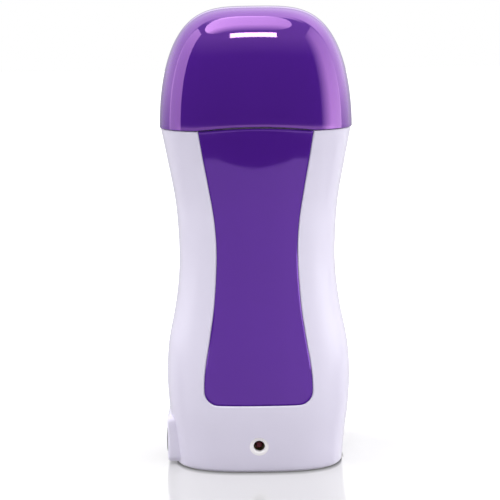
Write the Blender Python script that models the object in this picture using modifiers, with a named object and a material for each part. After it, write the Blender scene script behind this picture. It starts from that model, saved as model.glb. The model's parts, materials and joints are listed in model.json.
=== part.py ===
"""Roll-on wax warmer: a waisted case around one wax cartridge, with a cap, a heater block and a mains inlet.

Metres, +Z up. The origin is the centre of the underside. The front faces -Y and the mains inlet faces -X.
The case is sized from the cartridge outwards, so each wall and gap is set once and the outside follows.
"""

import math

import bmesh
import bpy
from mathutils import Matrix, Vector

# Clearances
FIT_GAP = 0.0003
STACK_GAP = 0.00015
SEAM_GAP = 0.0003
OVERRUN = 0.004
WELD = 0.000001
LARGEST_CORNER_SHARE = 0.4995

# Cartridge and its chamber
CARTRIDGE_WIDTH = 0.0528
CARTRIDGE_DEPTH = 0.0324
CARTRIDGE_CLEARANCE = 0.0006
CHAMBER_WALL = 0.0014
CHAMBER_SETBACK = 0.0015
CHAMBER_BOTTOM = 0.033
CHAMBER_FLOOR = 0.0015
CHAMBER_TOP_DROP = 0.003
SLOT_HALF_WIDTH = 0.012
SLOT_END_MARGIN = 0.009
SLOT_CORNER = 0.004

# Case
SHELL_WALL = 0.0022
SHELL_FLOOR = 0.0025
CHAMBER_SIDE_GAP = 0.0014
CHAMBER_FRONT_GAP = 0.0011
REAR_AIR_GAP = 0.00085
BODY_HEIGHT = 0.140
BODY_FLARE = 0.0065
FRONT_TAPER = 0.004
REAR_TAPER = 0.002
BASE_FILLET = 0.0012
SECTION_POWER = 2.8
# Height share, then the shares of the side flare, front taper and rear taper added to the waist there.
STATION_SHARES = (
    (0.00, 0.42, -0.10, -1.00),
    (0.04, 0.49, 0.05, -0.80),
    (0.10, 0.61, 0.25, -0.45),
    (0.17, 0.81, 0.41, -0.15),
    (0.26, 0.92, 0.48, 0.15),
    (0.36, 0.79, 0.38, 0.20),
    (0.47, 0.33, 0.15, 0.10),
    (0.55, 0.09, 0.03, 0.03),
    (0.62, 0.00, 0.00, 0.00),
    (0.72, 0.06, 0.01, 0.00),
    (0.80, 0.22, 0.08, 0.04),
    (0.90, 0.60, 0.42, 0.13),
    (1.00, 1.00, 1.00, 0.20),
)
WAIST_SHARE = 0.62

# Front window
WINDOW_BOTTOM = 0.0287
WINDOW_WAIST_WIDTH = 0.0324
WINDOW_FLARE = 0.006
WINDOW_CORNER = 0.0055
WINDOW_RECESS = 0.00015
WINDOW_SKIN = 0.0011
WINDOW_PLUG = 0.00105
WINDOW_LEDGE = 0.0021
WINDOW_SHARES = (
    (0.20, 0.90),
    (0.26, 0.96),
    (0.32, 0.84),
    (0.40, 0.53),
    (0.50, 0.20),
    (0.64, 0.00),
    (0.74, 0.11),
    (0.84, 0.47),
    (0.92, 0.79),
    (1.00, 1.08),
)

# Lid
LID_HEIGHT = 0.048
LID_WALL = 0.002
LID_PROUD = 0.0005
LID_EDGE_FILLET = 0.0006
LID_SPRING_DROP = 0.0028
LID_SIDE_POWER = 3.7
LID_CROWN_POWER = 2.2
LID_LAST_ANGLE = math.radians(87)
LID_SPACING_POWER = 0.8
LID_CLEARANCE = 0.00045
ARCH_MARGIN = 0.0008
ARCH_RISE = 0.0016
ARCH_WINDOW_GAP = 0.0005
ARCH_EASE_POWER = 4

# Collar
NECK_HEIGHT = 0.0077
COLLAR_WALL = 0.0016
COLLAR_SKIRT_DEPTH = 0.010
DECK_THICKNESS = 0.0018

# Heater stack, from the heat plate to the clamp
PLATE_HALF_WIDTH = 0.0209
PLATE_BOTTOM = 0.052
PLATE_HEIGHT = 0.048
PLATE_PROUD = 0.0003
FILM_THICKNESS = 0.0002
FILM_HALF_WIDTH = 0.0095
FILM_MARGIN = 0.001
ELECTRODE_THICKNESS = 0.0004
ELECTRODE_HALF_WIDTH = 0.007
ELECTRODE_MARGIN = 0.001
TAB_WIDTH = 0.0035
TAB_LENGTH = 0.005
CHIP_HALF_WIDTH = 0.0075
CHIP_THICKNESS = 0.002
CHIP_GAP = 0.002
CHIP_MARGIN = 0.002
CLAMP_THICKNESS = 0.001
CLAMP_HALF_WIDTH = 0.006
CLAMP_END = 0.004
CLAMP_BOSS_OFFSET = 0.006
CLAMP_BOSS_RADIUS = 0.003
CLAMP_HOLE_RADIUS = 0.0014
CLAMP_SCREW_RADIUS = 0.0011
CLAMP_SCREW_LENGTH = 0.0034
CLAMP_HEAD_RADIUS = 0.0023
CLAMP_HEAD_HEIGHT = 0.0013

# Thermostat and fuse, side by side on the heat plate
THERMOSTAT_SIZE = (0.0072, 0.0036, 0.020)
THERMOSTAT_X = 0.0148
THERMOSTAT_RISE = 0.008
THERMOSTAT_LEAD_SPREAD = 0.0018
FUSE_X = -0.0145
FUSE_RADIUS = 0.002
FUSE_LENGTH = 0.011
FUSE_LEAD = 0.0045
FUSE_LEAD_RADIUS = 0.0004
FUSE_RISE = 0.010
FUSE_END_SHARE = 0.8

# Indicator light and its board
LED_HEIGHT = 0.0114
LED_RECESS = 0.002
LED_RADIUS = 0.0015
LED_FLANGE_RADIUS = 0.0019
LED_FLANGE = 0.001
LED_LENGTH = 0.0052
LED_HOLE_RADIUS = 0.0023
LED_SINK_RADIUS = 0.0034
LED_SINK_DEPTH = 0.0008
BOARD_HALF_WIDTH = 0.011
BOARD_HALF_HEIGHT = 0.00575
BOARD_THICKNESS = 0.0012
BOARD_POST_X = 0.008
BOARD_POST_RADIUS = 0.0022
BOARD_SCREW_RADIUS = 0.0008
BOARD_PILOT_RADIUS = 0.00095
BOARD_SCREW_LENGTH = 0.004
BOARD_HEAD_RADIUS = 0.0018
BOARD_HEAD_HEIGHT = 0.0011
COMPONENT_OFFSET = 0.0036
COMPONENT_SPAN = 0.005
COMPONENT_LIFT = 0.0016
COMPONENT_LEAD_RADIUS = 0.0003
RESISTOR_RADIUS = 0.0011
RESISTOR_LENGTH = 0.006
DIODE_RADIUS = 0.00135
DIODE_LENGTH = 0.005

# Mains inlet and the pad round it
PAD_PROUD = 0.006
PAD_SIDE_MARGIN = 0.0029
PAD_BOTTOM = 0.0011
PAD_RISE = 0.0062
PAD_CORNER = 0.003
PAD_WALL = 0.0018
INLET_END_WALL = 0.0011
INLET_TOP_WALL = 0.0016
INLET_PROUD = 0.0004
INLET_LENGTH = 0.013
INLET_CORNER = 0.005
INLET_FLANGE = 0.0006
INLET_FLANGE_THICKNESS = 0.0014
INLET_FLOOR = 0.0015
LOBE_RADIUS = 0.0039
LOBE_WAIST = 0.0029
PIN_SPACING = 0.0086
PIN_RADIUS = 0.00118
PIN_SETBACK = 0.0012
PIN_TAIL = 0.006
PIN_TAIL_SHARE = 0.8

# Case screws
SCREW_RADIUS = 0.0014
SCREW_PILOT_RADIUS = 0.00155
SCREW_CLEAR_RADIUS = 0.0017
SCREW_HEAD_RADIUS = 0.0027
SCREW_HEAD_HEIGHT = 0.0018
SCREW_BORE_RADIUS = 0.0031
SCREW_SEAT = 0.0017
SCREW_BOSS_RADIUS = 0.004
SCREW_CROWN_SHARE = 0.33
SCREW_CROWN_FLAT_SHARE = 0.7
LOWER_SCREW_X = 0.020
LOWER_SCREW_DROP = 0.009
LOWER_SEAT_DEPTH = 0.010
LOWER_SCREW_REACH = 0.008
UPPER_SCREW_X = 0.013
UPPER_SCREW_DROP = 0.016
UPPER_BOSS_RADIUS = 0.003
UPPER_SCREW_LENGTH = 0.0068

# Shelves under the chamber
SHELF_INNER_X = 0.0215
SHELF_HALF_DEPTH = 0.014
SHELF_THICKNESS = 0.002

# Wires. The shares place a wire's middle in the foot: of the half width, of the rear depth and of the
# chamber's bottom height.
WIRE_RADIUS = 0.0007
LED_WIRE_RADIUS = 0.0006
WIRE_RUN = 0.006
WIRE_SHORT_RUN = 0.004
WIRE_HOP = 0.003
WIRE_EASE = 0.001
LIVE_LOW_SHARES = (-0.09, 0.08, 0.36)
LIVE_HIGH_SHARES = (0.22, 0.45, 0.60)
NEUTRAL_SHARES = (-0.39, 0.45, 0.52)
LED_LIVE_SHARES = (-0.44, -0.26, 0.49)
LED_NEUTRAL_SHARES = (-0.38, -0.04, 0.45)

# Mesh fineness, as counts
RING_POINTS = 40
BODY_LEVELS = 16
LID_LEVELS = 9
COLLAR_LEVELS = 3
WINDOW_COLUMNS = 7
WINDOW_ROWS = 13
WIRE_STEPS = 4
CORNER_STEPS = 3
BORE_SIDES = 16
SCREW_STEPS = 12

# Sizes that follow from the ones above
BAY_HALF_WIDTH = CARTRIDGE_WIDTH / 2 + CARTRIDGE_CLEARANCE
BAY_HALF_DEPTH = CARTRIDGE_DEPTH / 2 + CARTRIDGE_CLEARANCE
CHAMBER_HALF_WIDTH = BAY_HALF_WIDTH + CHAMBER_WALL
CHAMBER_HALF_DEPTH = BAY_HALF_DEPTH + CHAMBER_WALL
CHAMBER_Y = -CHAMBER_SETBACK
CHAMBER_BACK = CHAMBER_Y + CHAMBER_HALF_DEPTH
CHAMBER_TOP = BODY_HEIGHT - CHAMBER_TOP_DROP
PLATE_BACK = CHAMBER_BACK + PLATE_PROUD
PLATE_TOP = PLATE_BOTTOM + PLATE_HEIGHT
FILM_FRONT_Y = PLATE_BACK + STACK_GAP
ELECTRODE_FRONT_Y = FILM_FRONT_Y + FILM_THICKNESS + STACK_GAP
CHIP_Y = ELECTRODE_FRONT_Y + ELECTRODE_THICKNESS + STACK_GAP
ELECTRODE_REAR_Y = CHIP_Y + CHIP_THICKNESS + STACK_GAP
FILM_REAR_Y = ELECTRODE_REAR_Y + ELECTRODE_THICKNESS + STACK_GAP
CLAMP_Y = FILM_REAR_Y + FILM_THICKNESS + STACK_GAP
CLAMP_BACK = CLAMP_Y + CLAMP_THICKNESS
CLAMP_HEAD_BACK = CLAMP_BACK + STACK_GAP + CLAMP_HEAD_HEIGHT
WAIST_HALF_WIDTH = CHAMBER_HALF_WIDTH + CHAMBER_SIDE_GAP + SHELL_WALL
FRONT_WAIST_DEPTH = CHAMBER_HALF_DEPTH + CHAMBER_SETBACK + CHAMBER_FRONT_GAP + SHELL_WALL
REAR_WAIST_DEPTH = CLAMP_HEAD_BACK + REAR_AIR_GAP + SHELL_WALL
RIM_HALF_WIDTH = WAIST_HALF_WIDTH + BODY_FLARE
RIM_HALF_DEPTH = REAR_WAIST_DEPTH + REAR_TAPER * STATION_SHARES[-1][3]
LID_HALF_WIDTH = RIM_HALF_WIDTH + LID_PROUD
LID_HALF_DEPTH = RIM_HALF_DEPTH + LID_PROUD
LID_BOTTOM = BODY_HEIGHT + FIT_GAP
LID_TOP = LID_BOTTOM + LID_HEIGHT
LID_SPRING = BODY_HEIGHT - LID_SPRING_DROP
NECK_TOP = LID_BOTTOM + NECK_HEIGHT
INLET_HALF_DEPTH = PIN_SPACING / 2 + LOBE_RADIUS + INLET_END_WALL
INLET_HALF_HEIGHT = LOBE_RADIUS + INLET_TOP_WALL
INLET_HEIGHT = SHELL_FLOOR + FIT_GAP + INLET_FLANGE + FIT_GAP + INLET_HALF_HEIGHT
PAD_X = -(WAIST_HALF_WIDTH + PAD_PROUD)
PAD_HALF_DEPTH = INLET_HALF_DEPTH + PAD_SIDE_MARGIN
PAD_TOP = INLET_HEIGHT + INLET_HALF_HEIGHT + PAD_RISE
LOWER_SCREW_Z = CHAMBER_BOTTOM - LOWER_SCREW_DROP
CLAMP_LOWER_Z = PLATE_BOTTOM - CLAMP_BOSS_OFFSET
CLAMP_UPPER_Z = PLATE_TOP + CLAMP_BOSS_OFFSET
UPPER_SCREW_Z = BODY_HEIGHT - UPPER_SCREW_DROP
ARCH_HALF_CHORD = WINDOW_WAIST_WIDTH / 2 + WINDOW_FLARE * WINDOW_SHARES[-1][1] + ARCH_MARGIN


# Scene helpers

def clear_scene():
    for old in list(bpy.data.objects):
        bpy.data.objects.remove(old, do_unlink=True)


def new_collection(name):
    collection = bpy.data.collections.new(name)
    bpy.context.scene.collection.children.link(collection)
    return collection


clear_scene()
PARTS = new_collection("wax_warmer")
CUTTERS = new_collection("wax_warmer_cutters")
CUTTERS.hide_render = True


def new_material(name, colour, roughness, metallic=0.0):
    material = bpy.data.materials.new(name)
    material.use_nodes = True
    shader = material.node_tree.nodes["Principled BSDF"]
    shader.inputs["Base Color"].default_value = (*colour, 1.0)
    shader.inputs["Roughness"].default_value = roughness
    shader.inputs["Metallic"].default_value = metallic
    return material


def add_piece(obj, material, smooth_angle=math.radians(35)):
    """Puts a finished object among the parts, with its own material."""
    PARTS.objects.link(obj)
    if obj.type == "MESH":
        obj.data.materials.clear()
        obj.data.shade_smooth()
        obj.data.set_sharp_from_angle(angle=smooth_angle)
    obj.data.materials.append(material)
    return obj


def add_cutter(obj):
    CUTTERS.objects.link(obj)
    obj.hide_render = True
    obj.display_type = "WIRE"
    return obj


def combine(target, other, operation):
    """Adds one exact Boolean step to target."""
    step = target.modifiers.new(f"{operation.lower()}_{other.name}", "BOOLEAN")
    step.operation = operation
    step.solver = "EXACT"
    step.object = other
    return target


def cut(target, *cutters):
    for cutter in cutters:
        combine(target, add_cutter(cutter), "DIFFERENCE")
    return target


def join(target, *others):
    for other in others:
        combine(target, add_cutter(other), "UNION")
    return target


# Shapes

def mesh_object(name, bm):
    bmesh.ops.recalc_face_normals(bm, faces=bm.faces)
    mesh = bpy.data.meshes.new(name)
    bm.to_mesh(mesh)
    bm.free()
    return bpy.data.objects.new(name, mesh)


def box(name, low, high, bevel=0.0):
    """A box between two corners, with its edges rounded by bevel."""
    low, high = Vector(low), Vector(high)
    bm = bmesh.new()
    bmesh.ops.create_cube(bm, size=1.0)
    bmesh.ops.scale(bm, vec=high - low, verts=bm.verts)
    obj = mesh_object(name, bm)
    obj.location = (low + high) / 2
    if bevel:
        rounding = obj.modifiers.new("rounded_edges", "BEVEL")
        rounding.width = bevel
        rounding.segments = 2
    return obj


def rod(name, start, end, radius, end_radius=None, sides=BORE_SIDES):
    """A cylinder or cone between two points."""
    start, end = Vector(start), Vector(end)
    length = (end - start).length
    bm = bmesh.new()
    bmesh.ops.create_cone(
        bm,
        cap_ends=True,
        segments=sides,
        radius1=radius,
        radius2=radius if end_radius is None else end_radius,
        depth=length,
        matrix=Matrix.Rotation(math.pi / sides, 4, "Z"),
    )
    obj = mesh_object(name, bm)
    obj.rotation_euler = (end - start).to_track_quat("Z", "Y").to_euler()
    obj.location = (start + end) / 2
    return obj


def turned(name, profile, start, direction):
    """A profile of (radius, height) pairs, top first, turned about its height axis and set at start."""
    mesh = bpy.data.meshes.new(name)
    points = [(radius, 0.0, height) for radius, height in profile]
    mesh.from_pydata(points, [(i, i + 1) for i in range(len(points) - 1)], [])
    obj = bpy.data.objects.new(name, mesh)
    screw = obj.modifiers.new("turn", "SCREW")
    screw.steps = SCREW_STEPS
    screw.render_steps = SCREW_STEPS
    screw.use_merge_vertices = True
    screw.merge_threshold = WELD
    obj.rotation_euler = Vector(direction).to_track_quat("Z", "Y").to_euler()
    obj.location = start
    return obj


def pan_screw(name, seat, direction, shank_radius, length, head_radius, head_height):
    """A screw whose head sits on seat and whose shank points along direction."""
    crown = SCREW_CROWN_SHARE * head_height
    profile = (
        (0.0, head_height),
        (SCREW_CROWN_FLAT_SHARE * head_radius, head_height),
        (head_radius, head_height - crown),
        (head_radius, 0.0),
        (shank_radius, 0.0),
        (shank_radius, crown - length),
        (shank_radius / 2, -length),
        (0.0, -length),
    )
    return turned(name, profile, seat, -Vector(direction))


def flat_outline(name, points, thickness):
    """A closed outline in the XY plane, thickness deep and centred on z = 0, as a welded mesh."""
    curve = bpy.data.curves.new(name + "_outline", "CURVE")
    curve.dimensions = "2D"
    curve.fill_mode = "BOTH"
    curve.extrude = thickness / 2
    spline = curve.splines.new("POLY")
    spline.points.add(len(points) - 1)
    for point, (x, y) in zip(spline.points, points):
        point.co = (x, y, 0.0, 1.0)
    spline.use_cyclic_u = True
    guide = bpy.data.objects.new(name + "_outline", curve)
    CUTTERS.objects.link(guide)
    bpy.context.view_layer.update()
    mesh = bpy.data.meshes.new_from_object(guide.evaluated_get(bpy.context.evaluated_depsgraph_get()))
    bpy.data.objects.remove(guide)
    bm = bmesh.new()
    bm.from_mesh(mesh)
    bmesh.ops.remove_doubles(bm, verts=bm.verts, dist=WELD)
    return mesh_object(name, bm)


def face_outline(name, points, y_from, y_to):
    """An outline of (x, z) points, run along Y."""
    obj = flat_outline(name, points, abs(y_to - y_from))
    obj.rotation_euler = (math.pi / 2, 0.0, 0.0)
    obj.location = (0.0, (y_from + y_to) / 2, 0.0)
    return obj


def side_outline(name, points, x_from, x_to):
    """An outline of (y, z) points, run along X."""
    obj = flat_outline(name, points, abs(x_to - x_from))
    obj.rotation_euler = (math.pi / 2, 0.0, math.pi / 2)
    obj.location = ((x_from + x_to) / 2, 0.0, 0.0)
    return obj


def rounded_rectangle(u_low, u_high, v_low, v_high, radius, steps=CORNER_STEPS):
    radius = min(radius, LARGEST_CORNER_SHARE * (u_high - u_low), LARGEST_CORNER_SHARE * (v_high - v_low))
    corners = (
        (u_high - radius, v_high - radius),
        (u_low + radius, v_high - radius),
        (u_low + radius, v_low + radius),
        (u_high - radius, v_low + radius),
    )
    points = []
    for quarter, (u, v) in enumerate(corners):
        for step in range(steps + 1):
            angle = math.pi / 2 * (quarter + step / steps)
            points.append((u + radius * math.cos(angle), v + radius * math.sin(angle)))
    return points


def curve_through(table, share, column):
    """A smooth value read from rows of shares by cubic Hermite pieces."""
    last = len(table) - 1
    share = min(max(share, table[0][0]), table[last][0])
    i = max(k for k in range(last) if table[k][0] <= share)

    def slope(k):
        before, after = max(k - 1, 0), min(k + 1, last)
        return (table[after][column] - table[before][column]) / (table[after][0] - table[before][0])

    span = table[i + 1][0] - table[i][0]
    t = (share - table[i][0]) / span
    start, end = table[i][column], table[i + 1][column]
    rise_start, rise_end = slope(i) * span, slope(i + 1) * span
    return (
        start * (2 * t**3 - 3 * t**2 + 1)
        + rise_start * (t**3 - 2 * t**2 + t)
        + end * (3 * t**2 - 2 * t**3)
        + rise_end * (t**3 - t**2)
    )


def superellipse(half_width, front, rear, y_centre=0.0, count=RING_POINTS):
    """Points of a rounded-rectangle ring that is half_width wide, front deep at -Y and rear deep at +Y."""
    points = []
    for i in range(count):
        angle = 2 * math.pi * (i + 0.5) / count
        c, s = math.cos(angle), math.sin(angle)
        reach = (abs(c) ** SECTION_POWER + abs(s) ** SECTION_POWER) ** (-1 / SECTION_POWER)
        points.append((half_width * reach * c, y_centre + (rear if s > 0 else front) * reach * s))
    return points


def loft(name, sections):
    """A closed solid through rings of (points, z), lowest first."""
    bm = bmesh.new()
    rings = [[bm.verts.new((x, y, z)) for x, y in points] for points, z in sections]
    count = len(rings[0])
    for lower, upper in zip(rings, rings[1:]):
        for i in range(count):
            j = (i + 1) % count
            bm.faces.new((lower[i], lower[j], upper[j], upper[i]))
    bm.faces.new(rings[0][::-1])
    bm.faces.new(rings[-1])
    return mesh_object(name, bm)


def prism(name, half_width, half_depth, y_centre, z_low, z_high):
    ring = superellipse(half_width, half_depth, half_depth, y_centre)
    return loft(name, [(ring, z_low), (ring, z_high)])


# The case's outside, as sizes at a height

def station(z):
    """Half width, front depth and rear depth of the case at height z."""
    share = z / BODY_HEIGHT
    front_taper = RIM_HALF_DEPTH - FRONT_WAIST_DEPTH if share > WAIST_SHARE else FRONT_TAPER
    return (
        WAIST_HALF_WIDTH + BODY_FLARE * curve_through(STATION_SHARES, share, 1),
        FRONT_WAIST_DEPTH + front_taper * curve_through(STATION_SHARES, share, 2),
        REAR_WAIST_DEPTH + REAR_TAPER * curve_through(STATION_SHARES, share, 3),
    )


def case_ring(z, inset=0.0):
    width, front, rear = station(z)
    return superellipse(width - inset, front - inset, rear - inset)


def case_hollow(name):
    """The case's outside less its wall, from the floor to above the rim."""
    levels = [SHELL_FLOOR + (BODY_HEIGHT - SHELL_FLOOR) * k / BODY_LEVELS for k in range(BODY_LEVELS + 1)]
    levels.append(BODY_HEIGHT + OVERRUN)
    return loft(name, [(case_ring(z, SHELL_WALL), z) for z in levels])


def outer_case(name):
    """The whole outside down to the rounded foot, as one solid."""
    sections = []
    for k in range(CORNER_STEPS):
        angle = math.pi / 2 * k / CORNER_STEPS
        z = BASE_FILLET * (1 - math.cos(angle))
        sections.append((case_ring(z, BASE_FILLET * (1 - math.sin(angle))), z))
    for k in range(BODY_LEVELS + 1):
        z = BASE_FILLET + (BODY_HEIGHT - BASE_FILLET) * k / BODY_LEVELS
        sections.append((case_ring(z), z))
    return loft(name, sections)


def front_surface(x, z, inset=0.0):
    """Y of the case's front at (x, z), inset below the outside."""
    width, front, _ = station(z)
    share = min(abs(x) / (width - inset), 1.0)
    return -(front - inset) * (1 - share**SECTION_POWER) ** (1 / SECTION_POWER)


# The lid's outside

def lid_rings(name, wall, z_low, edge=0.0):
    """The lid's dome with its wall taken off, from z_low up to its crown."""
    half_width, half_depth = LID_HALF_WIDTH - wall, LID_HALF_DEPTH - wall
    height = LID_TOP - LID_SPRING - wall
    start = math.asin(((z_low - LID_SPRING) / height) ** (LID_CROWN_POWER / 2))
    sections = []
    for k in range(LID_LEVELS + 1):
        angle = start + (LID_LAST_ANGLE - start) * (k / LID_LEVELS) ** LID_SPACING_POWER
        z = LID_SPRING + height * math.sin(angle) ** (2 / LID_CROWN_POWER)
        scale = math.cos(angle) ** (2 / LID_SIDE_POWER)
        inset = edge if k == 0 else 0.0
        width, depth = half_width * scale, half_depth * scale
        sections.append((superellipse(width - inset, depth - inset, depth - inset), z))
        if k == 0 and edge:
            sections.append((superellipse(width, depth, depth), z + edge))
    return loft(name, sections)


def lid_inner_share(z):
    """Share of the lid's inner half sizes that is left at height z."""
    rise = (z - LID_SPRING) / (LID_TOP - LID_SPRING - LID_WALL)
    return (1 - rise**LID_CROWN_POWER) ** (1 / LID_SIDE_POWER)


# The window's outline

def window_half_width(z):
    return WINDOW_WAIST_WIDTH / 2 + WINDOW_FLARE * curve_through(WINDOW_SHARES, z / BODY_HEIGHT, 1)


def window_panel(name, grow, inset_out, inset_in, top_grow=None):
    """The slice of the case's front inside the window's outline, grown by grow, between two insets."""
    corner = max(WINDOW_CORNER + grow, WINDOW_CORNER / 3)
    bottom = WINDOW_BOTTOM - grow
    shoulder = bottom + corner
    top = BODY_HEIGHT + (grow if top_grow is None else top_grow)
    rows = []
    for k in range(CORNER_STEPS):
        angle = math.pi / 2 * k / CORNER_STEPS
        side = window_half_width(shoulder) + grow
        rows.append((shoulder - corner * math.cos(angle), side - corner * (1 - math.sin(angle))))
    for k in range(WINDOW_ROWS + 1):
        z = shoulder + (top - shoulder) * k / WINDOW_ROWS
        rows.append((z, window_half_width(z) + grow))
    arch = ARCH_RISE - ARCH_WINDOW_GAP
    bm = bmesh.new()
    layers = []
    for inset in (inset_out, inset_in):
        grid = []
        for z, half_width in rows:
            line = []
            for column in range(-WINDOW_COLUMNS, WINDOW_COLUMNS + 1):
                x = half_width * column / WINDOW_COLUMNS
                lift = arch * max((z - shoulder) / (top - shoulder), 0.0) ** ARCH_EASE_POWER
                height = z + lift * (1 - (x / ARCH_HALF_CHORD) ** 2)
                line.append(bm.verts.new((x, front_surface(x, min(height, BODY_HEIGHT), inset), height)))
            grid.append(line)
        layers.append(grid)
    front, back = layers
    last_row, last_column = len(rows) - 1, 2 * WINDOW_COLUMNS
    for r in range(last_row):
        for c in range(last_column):
            bm.faces.new((front[r][c], front[r][c + 1], front[r + 1][c + 1], front[r + 1][c]))
            bm.faces.new((back[r][c], back[r + 1][c], back[r + 1][c + 1], back[r][c + 1]))
    for r in range(last_row):
        bm.faces.new((front[r][0], front[r + 1][0], back[r + 1][0], back[r][0]))
        bm.faces.new((front[r][-1], back[r][-1], back[r + 1][-1], front[r + 1][-1]))
    for c in range(last_column):
        bm.faces.new((front[0][c], back[0][c], back[0][c + 1], front[0][c + 1]))
        bm.faces.new((front[last_row][c], front[last_row][c + 1], back[last_row][c + 1], back[last_row][c]))
    return mesh_object(name, bm)


# Routes

def smooth_route(points, steps=WIRE_STEPS):
    """Points on a Catmull-Rom curve through the route's own points."""
    points = [Vector(p) for p in points]
    padded = [2 * points[0] - points[1], *points, 2 * points[-1] - points[-2]]
    route = []
    for i in range(1, len(padded) - 2):
        a, b, c, d = padded[i - 1 : i + 3]
        for k in range(steps):
            t = k / steps
            route.append(
                (
                    2 * b
                    + (c - a) * t
                    + (2 * a - 5 * b + 4 * c - d) * t**2
                    + (3 * b - a - 3 * c + d) * t**3
                )
                / 2
            )
    route.append(points[-1])
    return route


def tube(name, route, radii):
    """A tube along a route; radii is one radius or one for each point."""
    curve = bpy.data.curves.new(name, "CURVE")
    curve.dimensions = "3D"
    curve.bevel_depth = 1.0
    curve.bevel_resolution = 2
    curve.use_fill_caps = True
    spline = curve.splines.new("POLY")
    spline.points.add(len(route) - 1)
    if not isinstance(radii, (list, tuple)):
        radii = [radii] * len(route)
    for point, place, radius in zip(spline.points, route, radii):
        point.co = (*place, 1.0)
        point.radius = radius
    return bpy.data.objects.new(name, curve)


# Materials

WHITE = new_material("white_shell", (0.79, 0.77, 0.86), 0.3)
PURPLE_LID = new_material("purple_lid", (0.12, 0.02, 0.34), 0.12)
PURPLE_WINDOW = new_material("purple_window", (0.13, 0.04, 0.32), 0.2)
NATURAL = new_material("natural_plastic", (0.8, 0.79, 0.76), 0.45)
ALUMINIUM = new_material("aluminium", (0.77, 0.78, 0.8), 0.35, 1.0)
STEEL = new_material("steel", (0.62, 0.63, 0.65), 0.3, 1.0)
BRASS = new_material("brass", (0.78, 0.6, 0.3), 0.3, 1.0)
CERAMIC = new_material("ceramic", (0.25, 0.24, 0.24), 0.6)
FILM = new_material("amber_film", (0.6, 0.27, 0.04), 0.25)
BLACK = new_material("black_plastic", (0.02, 0.02, 0.022), 0.35)
BOARD = new_material("board_laminate", (0.5, 0.38, 0.18), 0.5)
LED_RED = new_material("red_lens", (0.25, 0.0, 0.01), 0.12)
RESISTOR_COAT = new_material("resistor_coat", (0.62, 0.5, 0.32), 0.4)
FUSE_COAT = new_material("fuse_case", (0.7, 0.62, 0.45), 0.35)
WIRE_BROWN = new_material("brown_insulation", (0.2, 0.07, 0.03), 0.4)
WIRE_BLUE = new_material("blue_insulation", (0.04, 0.1, 0.4), 0.4)
WIRE_RED = new_material("red_insulation", (0.5, 0.03, 0.03), 0.4)


# Case halves

def led_axis_y():
    return front_surface(0.0, LED_HEIGHT)


def board_front_y():
    """The board's front face: the LED stands on it and its tip ends LED_RECESS below the case's front."""
    return led_axis_y() + LED_RECESS + LED_LENGTH + STACK_GAP


def sides():
    return (("left", -1), ("right", 1))


def pad_outline(shrink=0.0):
    return rounded_rectangle(
        -PAD_HALF_DEPTH + shrink, PAD_HALF_DEPTH - shrink, PAD_BOTTOM + shrink, PAD_TOP - shrink, PAD_CORNER
    )


def inlet_outline(grow=0.0):
    return rounded_rectangle(
        -INLET_HALF_DEPTH - grow,
        INLET_HALF_DEPTH + grow,
        INLET_HEIGHT - INLET_HALF_HEIGHT - grow,
        INLET_HEIGHT + INLET_HALF_HEIGHT + grow,
        INLET_CORNER + grow,
    )


def case_half(name, front):
    """One half of the case: the outside less its hollow, kept on one side of the seam."""
    shell = outer_case(name)
    pad_root = -(WAIST_HALF_WIDTH - PAD_WALL)
    join(shell, side_outline(name + "_pad", pad_outline(), PAD_X, pad_root))
    hollow = case_hollow(name + "_hollow")
    for side, sign in sides():
        inner, outer = sorted((sign * SHELF_INNER_X, sign * (RIM_HALF_WIDTH + OVERRUN)))
        top = CHAMBER_BOTTOM - FIT_GAP
        low = (inner, -SHELF_HALF_DEPTH, top - SHELF_THICKNESS)
        cut(hollow, box(f"{name}_shelf_{side}", low, (outer, SHELF_HALF_DEPTH, top)))
        x = sign * LOWER_SCREW_X
        low_y, high_y = (-RIM_HALF_DEPTH, 0.0) if front else (0.0, RIM_HALF_DEPTH)
        start, end = (x, low_y, LOWER_SCREW_Z), (x, high_y, LOWER_SCREW_Z)
        cut(hollow, rod(f"{name}_boss_{side}", start, end, SCREW_BOSS_RADIUS))
        if front:
            x = sign * BOARD_POST_X
            start = (x, -RIM_HALF_DEPTH, LED_HEIGHT)
            end = (x, board_front_y() - STACK_GAP, LED_HEIGHT)
            cut(hollow, rod(f"{name}_post_{side}", start, end, BOARD_POST_RADIUS))
        else:
            x = sign * UPPER_SCREW_X
            start, end = (x, upper_boss_end() + FIT_GAP, UPPER_SCREW_Z), (x, RIM_HALF_DEPTH, UPPER_SCREW_Z)
            cut(hollow, rod(f"{name}_upper_boss_{side}", start, end, SCREW_BOSS_RADIUS))
    cut(shell, hollow)
    pocket_outline = rounded_rectangle(
        -INLET_HALF_DEPTH - INLET_FLANGE - FIT_GAP,
        INLET_HALF_DEPTH + INLET_FLANGE + FIT_GAP,
        SHELL_FLOOR,
        PAD_TOP - PAD_WALL,
        PAD_CORNER,
    )
    pocket_mouth = -(WAIST_HALF_WIDTH - SHELL_WALL)
    cut(shell, side_outline(name + "_pocket", pocket_outline, PAD_X + SHELL_WALL, pocket_mouth))
    hole_end = PAD_X + SHELL_WALL + OVERRUN
    cut(shell, side_outline(name + "_inlet_hole", inlet_outline(FIT_GAP), PAD_X - OVERRUN, hole_end))
    reach = RIM_HALF_WIDTH + OVERRUN
    depth = RIM_HALF_DEPTH + OVERRUN
    low_y, high_y = (-SEAM_GAP / 2, depth) if front else (-depth, SEAM_GAP / 2)
    cut(shell, box(name + "_seam", (-reach, low_y, -OVERRUN), (reach, high_y, BODY_HEIGHT + OVERRUN)))
    return shell


def upper_boss_end():
    """Y where the chamber's screw bosses end, one seat thickness and one head inside the rear wall."""
    _, _, rear = station(UPPER_SCREW_Z)
    return rear - SHELL_WALL - SCREW_SEAT - SCREW_HEAD_HEIGHT / 2 - FIT_GAP


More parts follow.
